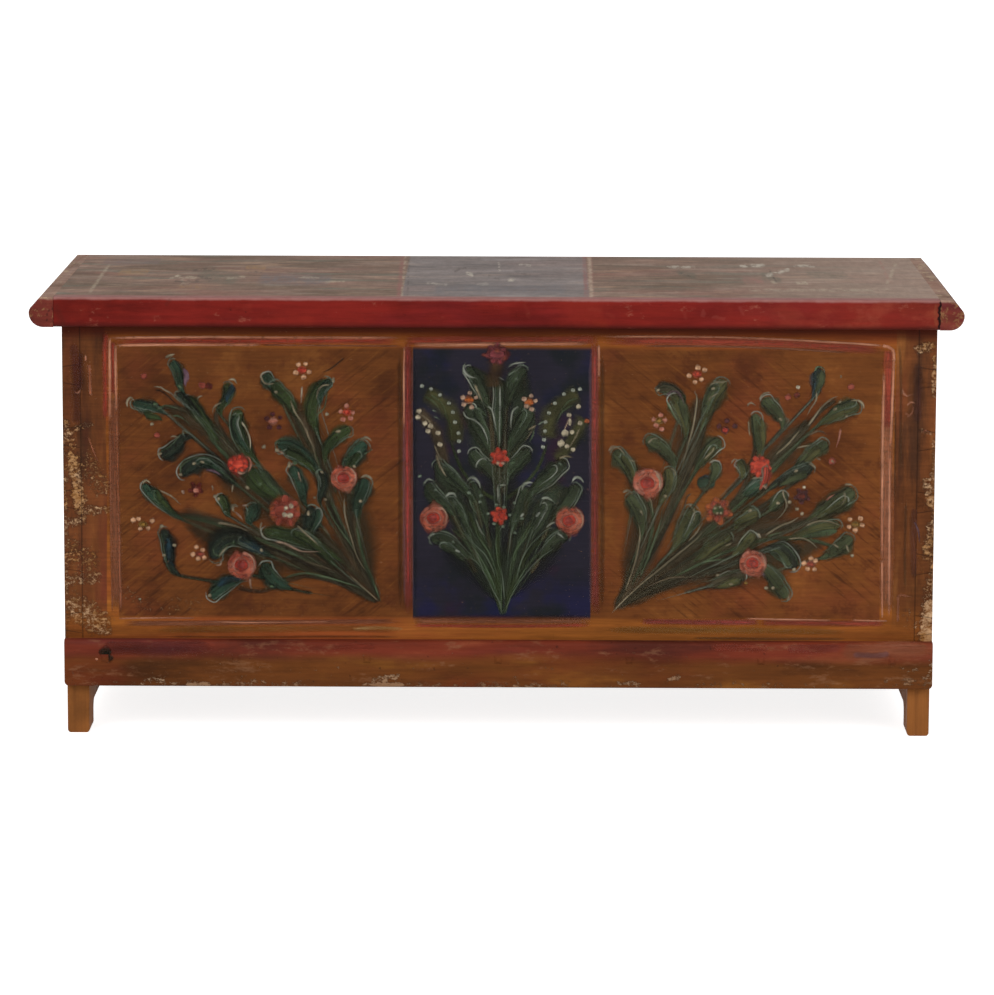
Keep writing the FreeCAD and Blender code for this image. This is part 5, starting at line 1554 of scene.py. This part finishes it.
def skirting_finish():
    """The skirting's paint, worn in places along the foot and at the right end."""
    f = Finish("skirting_paint")
    wood, grain = pine(f, "9a6a42", "6a4122")
    paint = skirting_ground(f)
    worn = worn_spots(f, SKIRTING_WEAR, skirting_low.y)
    crumbs = f.noise(150.0, 7.0, 0.82, f.stretched(0.6, 1.0, 1.0), 5.0)
    foot = f.ramp(f.z, skirting_low.z + 0.016, skirting_low.z, 0.0, 0.12)
    patchy = f.ramp(f.noise(8.0, 3.0, 0.6, f.stretched(0.7, 1.0, 1.0), 38.0), 0.40, 0.62)
    worn = f.plus(worn, f.times(patchy, f.plus(foot, 0.035)))
    lost = f.ramp(f.plus(crumbs, worn), 0.64, 0.70)
    dust = f.ramp(f.noise(60.0, 6.0, 0.70, f.stretched(0.35, 1.0, 1.0), 39.0), 0.54, 0.68, 0.0, 0.40)
    paint = f.over(paint, dust, "94684a")
    paint = f.mix(f.times(lost, 0.72), paint, f.mix(grain, tint("8d6341"), tint("c0a080")))
    paint = f.over(paint, f.ramp(f.noise(120.0, 5.0), 0.62, 0.72, 0.0, 0.5), "1f120d")
    hidden = f.ramp(f.y, FRONT - 0.0012, FRONT - 0.0004)
    f.relief(f.minus(f.times(grain, 0.4), lost), 0.0006)
    return f.done(f.mix(hidden, paint, wood), f.ramp(grain, 0.2, 0.8, 0.48, 0.66), PAINT_GLOSS)


def lid_ground(f):
    """The lid's top: pinkish brown fields at the ends and a grey one in the middle, scrubbed thin, their
    pale tones partly faded paint and partly a painted sheen of the light on the upward-facing top.
    """
    deep = f.stretched(1.0, 0.30, 1.0)
    wide = f.stretched(0.26, 0.90, 1.0)
    # Painted sheen: these tones are paler than the worn paint alone, for the light falling on the
    # upward-facing top
    side = blotches(f, "77614f", "8a7060", "a08070", "95695a", 50.0, 0.5, 1.0, 0.12)
    side = f.over(side, f.ramp(f.noise(26.0, 5.0, 0.62, wide, 53.0), 0.52, 0.64, 0.0, 0.75), "797465")
    side = f.over(side, f.ramp(f.noise(30.0, 5.0, 0.62, wide, 54.0), 0.55, 0.66, 0.0, 0.7), "b39178")
    side = f.over(side, f.ramp(f.x, 0.20, 0.60, 0.0, 0.60), "b39a8a")
    centre = blotches(f, "776e6b", "8b807c", "9c918e", "927e78", 56.0, 0.5, 1.0, 0.12)
    colour = f.mix(f.within(f.x, *LID_FIELD, 0.002), side, centre)
    streaks = f.noise(44.0, 6.0, 0.66, wide, 57.0)
    colour = f.over(colour, f.ramp(streaks, 0.50, 0.70, 0.0, 0.42), "bfa898")
    colour = f.over(colour, f.ramp(streaks, 0.47, 0.32, 0.0, 0.42), "66564c")
    crumbs = f.noise(110.0, 6.0, 0.70, deep, 59.0)
    colour = f.tone(colour, f.ramp(crumbs, 0.35, 0.65, 0.92, 1.10))
    at = f.shaken((1.0, FORESHORTENED, 0.0), (0.005, 0.005, 0.0), 60.0)
    thin = f.ramp(f.noise(90.0, 6.0, 0.7, deep, 58.0), 0.42, 0.58)
    even = f.ramp(thin, 0.0, 1.0, 0.45, 1.0)
    for hue, size, left, start, end in LID_MARKS:
        seen = f.near(at, on_top(start), on_top(end), 0.2 * size * PIXEL, 1.4 * size * PIXEL)
        broken = thin if size < 2.2 else even
        colour = f.mix(f.times(f.times(seen, left), broken), colour, tint(HUES_OF_THE_LID[hue]))
    back = f.plus(f.y, f.times(f.noise(30.0, 4.0), 0.02))
    front_edge = f.ramp(back, *(lip_low.y + reach for reach in LID_EDGE))
    return f.mix(f.times(front_edge, 0.75), colour, tint("a8766e"))


def lid_finish():
    """Faded fields on the lid's top, paled further by a painted sheen, bare pine below."""
    f = Finish("lid_paint")
    wood, grain = pine(f)
    hair = f.noise(330.0, 3.0, 0.6, f.stretched(0.05, 1.0, 1.0), 20.0)
    paint = f.tone(lid_ground(f), f.ramp(hair, 0.3, 0.7, 0.94, 1.06))
    scratches = f.ramp(f.noise(190.0, 4.0, 0.6, f.stretched(0.10, 1.0, 1.0), 7.0), 0.66, 0.76, 0.0, 0.35)
    paint = f.over(paint, scratches, "b8a592")
    upper = f.ramp(f.z, *(lid_high.z - depth for depth in PAINT_EDGE))
    f.relief(f.times(f.plus(grain, scratches), 0.5), 0.0006)
    return f.done(f.mix(upper, wood, paint), f.ramp(hair, 0.2, 0.8, 0.5, 0.7), PAINT_GLOSS)


def lip_marks(f, paint):
    """The scuffs and cracks that are drawn one by one."""
    at = f.shaken((1.0, 0.0, 1.0), (0.009, 0.0, 0.009), 110.0)
    for code, size, left, start, end in LIP_MARKS:
        start, end = (on_face(spot, lip_low.y) for spot in (start, end))
        seen = f.near(at, start, end, 0.2 * size * PIXEL, 1.3 * size * PIXEL)
        paint = f.over(paint, f.times(seen, left), code)
    return paint


def lip_finish():
    """The red lip: patchy, rubbed pink along the top edge, with a painted shade along the bottom."""
    f = Finish("lip_paint")
    paint = blotches(f, "63150e", "771d16", "87261b", "701d20", 60.0, 0.4)
    paint = f.over(paint, f.ramp(f.noise(9.0, 4.0, 0.6, None, 64.0), 0.52, 0.68, 0.0, 0.5), "8a281b")
    mottled = f.ramp(f.noise(30.0, 5.0, 0.6, f.stretched(0.6, 1.0, 1.0), 67.0), 0.44, 0.62, 0.2, 1.0)
    paint = f.over(paint, f.times(f.ramp(f.x, 0.25, 0.62, 0.0, 0.65), mottled), "964330")
    sway = f.times(f.noise(40.0, 4.0), 0.004)
    swayed = f.plus(f.z, sway)
    # Painted shade along the lip's lower edge, where it turns away from the light
    foot = f.ramp(swayed, lip_low.z + 0.012, lip_low.z + 0.003, 0.0, 0.7)
    paint = f.over(paint, foot, "32110b")
    rubs = f.ramp(f.noise(48.0, 6.0, 0.68, f.stretched(0.5, 1.0, 1.0), 65.0), 0.60, 0.70, 0.0, 0.5)
    paint = f.over(paint, rubs, "a2604c")
    nicks = f.ramp(f.noise(120.0, 6.0, 0.7, f.stretched(0.5, 1.0, 1.0), 9.0), 0.64, 0.72, 0.0, 0.7)
    paint = f.over(paint, nicks, "2f100c")
    shoulder = f.ramp(swayed, lip_high.z - 0.003, lip_high.z + 0.001)
    paint = f.mix(f.times(shoulder, 0.85), paint, f.mix(f.noise(50.0, 5.0), tint("8d5550"), tint("b58780")))
    paint = lip_marks(f, paint)
    fine = f.noise(260.0, 4.0, 0.6, f.stretched(0.3, 1.0, 1.0), 66.0)
    f.relief(f.minus(fine, nicks), 0.0005)
    return f.done(paint, f.ramp(fine, 0.3, 0.7, 0.45, 0.62), PAINT_GLOSS)


def batten_finish():
    """The end battens: faded like the lid on top and paled there by the same painted sheen, purple-red with
    bare patches on the ends and sides.
    """
    f = Finish("batten_paint")
    wood, grain = pine(f, along="y")
    side = blotches(f, "4e231d", "702f26", "8b4833", "622936", 70.0, 1.0)
    bare = f.ramp(f.noise(75.0, 6.0, 0.70, None, 73.0), 0.52, 0.62)
    side = f.mix(f.times(bare, 0.8), side, f.mix(grain, tint("7b4e28"), tint("a9805a")))
    # Painted sheen: the top partly paler than the sides for the light falling on it from above, partly faded
    # paint
    top = blotches(f, "866856", "a07f6e", "b59684", "9a6f5e", 76.0, 0.9)
    worn = f.ramp(f.noise(60.0, 6.0, 0.70, f.stretched(1.0, 0.4, 1.0), 79.0), 0.52, 0.62)
    top = f.mix(f.times(worn, 0.65), top, f.mix(grain, tint("ab8e70"), tint("cbb396")))
    upper = f.ramp(f.plus(f.z, f.times(f.noise(50.0, 4.0), 0.008)), lid_high.z - 0.001, lid_high.z + 0.003)
    colour = lip_marks(f, f.mix(upper, side, top))
    colour = f.over(colour, f.ramp(f.noise(110.0, 6.0), 0.60, 0.72, 0.0, 0.6), "24130f")
    f.relief(f.minus(f.times(grain, 0.5), f.times(bare, 0.5)), 0.0006)
    return f.done(colour, f.ramp(grain, 0.2, 0.8, 0.5, 0.7), PAINT_GLOSS)


def bare_finish(name="bare_wood", along="y", pale="9a6636", deep="6a4020"):
    f = Finish(name)
    wood, grain = pine(f, pale, deep, along)
    wood = dirty(f, wood, 0.4)
    f.relief(grain, 0.0004)
    return f.done(wood, f.ramp(grain, 0.2, 0.8, 0.55, 0.75), PAINT_GLOSS)


def iron_finish():
    f = Finish("iron")
    scale = f.noise(160.0, 6.0, 0.65)
    colour = f.mix(scale, tint("1c1a19"), tint("3a3430"))
    rust = f.ramp(f.noise(45.0, 6.0, 0.65, None, 4.0), 0.52, 0.68, 0.0, 0.75)
    colour = f.over(colour, rust, "5a3220")
    f.relief(scale, 0.0006)
    f.shader.inputs["Metallic"].default_value = 0.6
    return f.done(colour, f.ramp(scale, 0.3, 0.7, 0.45, 0.7))


def floor_finish():
    f = Finish("floor_white")
    white = (0.9, 0.9, 0.9, 1.0)
    f.done(white, 0.9, 0.1)
    shine = f.add("ShaderNodeEmission", {"Color": (1.0, 1.0, 1.0, 1.0), "Strength": 0.84})
    seen = f.tree.nodes.new("ShaderNodeLightPath")
    both = f.add("ShaderNodeAddShader", {0: f.shader.outputs[0], 1: shine.outputs[0]})
    rays = f.most(seen.outputs["Is Camera Ray"], seen.outputs["Is Glossy Ray"])
    chosen = f.add("ShaderNodeMixShader", {0: rays, 1: f.shader.outputs[0], 2: both.outputs[0]})
    f.feed(f.tree.nodes["Material Output"].inputs["Surface"], chosen.outputs[0])
    return f.material


def put(material, *names):
    for name in names:
        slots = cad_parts[name].data.materials
        slots.clear()
        slots.append(material)


def dress():
    """Gives every wooden and iron piece its finish."""
    put(wall_front_finish(), "front_lower_board", "front_upper_board")
    put(wall_finish(), "left_lower_board", "left_upper_board", "right_lower_board", "right_upper_board")
    put(bare_finish("back_wood", "x", "8a5c36", "5d3a20"), "back_lower_board", "back_upper_board")
    put(skirting_finish(), "front_skirting", "skirting_nails")
    put(lid_finish(), "lid_front_board", "lid_back_board")
    put(lip_finish(), "lid_front_lip", "lip_nails")
    put(batten_finish(), "lid_left_batten", "lid_right_batten", "batten_pegs")
    put(bare_finish("inside_wood", "x"), "bottom_front_board", "bottom_middle_board", "bottom_back_board")
    put(bare_finish("till_wood", "y"), "till_bottom", "till_partition")
    put(bare_finish("foot_wood", "z", "ab6b36", "784822"), "left_runner", "right_runner")
    iron = iron_finish()
    for word in ("left", "right"):
        put(iron, word + "_hinge_strap", word + "_hinge_leaf", word + "_hinge_pin")
    put(iron, "bottom_nails", "runner_nails", "leaf_nails", "strap_nails")


def brushwork():
    """Paints the frames and the three sprays of flowers on the front, and the marks on the skirting."""
    finish = brush_finish()
    tables = (("frame_lines", FRAME_LINES, FRONT, "front_paint", None),
              ("left_spray", LEFT_SPRAY, FRONT, "front_paint", LEFT_ROOT),
              ("centre_spray", CENTRE_SPRAY, FRONT, "front_paint", CENTRE_ROOT),
              ("right_spray", RIGHT_SPRAY, FRONT, "front_paint", RIGHT_ROOT),
              ("skirting_marks", SKIRTING_MARKS, skirting_low.y, "skirting_paint", None))
    for seed, (name, strokes, plane, slot, root) in enumerate(tables):
        work = Brushwork(name, plane, slot, root and Vector(root), seed)
        work.paint(strokes)
        work.finish(finish)


# The studio's light: each lamp's name, place, size and power, what they are aimed at, and the sky's strength
LAMPS = (("key", (-2.2, -4.2, 3.2), 2.4, 74.0), ("fill", (2.8, -4.0, 2.2), 2.4, 54.0))
AIM = Vector((0.0, 0.0, 0.35))
SKY = 0.52
WHITE = (1.0, 1.0, 1.0, 1.0)
FLOOR_REACH = 60.0
FAR = 200.0


def studio():
    """A pale floor, a white sky, soft lamps and the camera."""
    mesh = bpy.data.meshes.new("floor")
    sheet = bmesh.new()
    bmesh.ops.create_grid(sheet, x_segments=1, y_segments=1, size=FLOOR_REACH)
    sheet.to_mesh(mesh)
    floor = bpy.data.objects.new("floor", mesh)
    bpy.context.scene.collection.objects.link(floor)
    mesh.materials.append(floor_finish())

    sky = bpy.data.worlds.new("sky")
    sky.use_nodes = True
    sky.node_tree.nodes["Background"].inputs["Strength"].default_value = SKY
    sky.node_tree.nodes["Background"].inputs["Color"].default_value = WHITE
    bpy.context.scene.world = sky

    for settings in LAMPS:
        lamp(*settings)

    camera = bpy.data.objects.new("camera", bpy.data.cameras.new("camera"))
    bpy.context.scene.collection.objects.link(camera)
    camera.data.sensor_fit = "HORIZONTAL"
    camera.data.sensor_width = SENSOR_WIDTH
    camera.data.lens = CAMERA_LENS
    camera.data.clip_end = FAR
    right, ahead, up = camera_axes()
    turn = Matrix((right, up, -ahead)).transposed().to_4x4()
    camera.matrix_world = Matrix.Translation(CAMERA_AT) @ turn
    bpy.context.scene.camera = camera
    bpy.context.scene.view_settings.view_transform = "Standard"


def lamp(name, at, size, power):
    light = bpy.data.lights.new(name, "AREA")
    light.size = size
    light.energy = power
    holder = bpy.data.objects.new(name, light)
    bpy.context.scene.collection.objects.link(holder)
    aim = AIM - Vector(at)
    holder.matrix_world = Matrix.Translation(at) @ aim.to_track_quat("-Z", "Y").to_matrix().to_4x4()


studio()
dress()
brushwork()
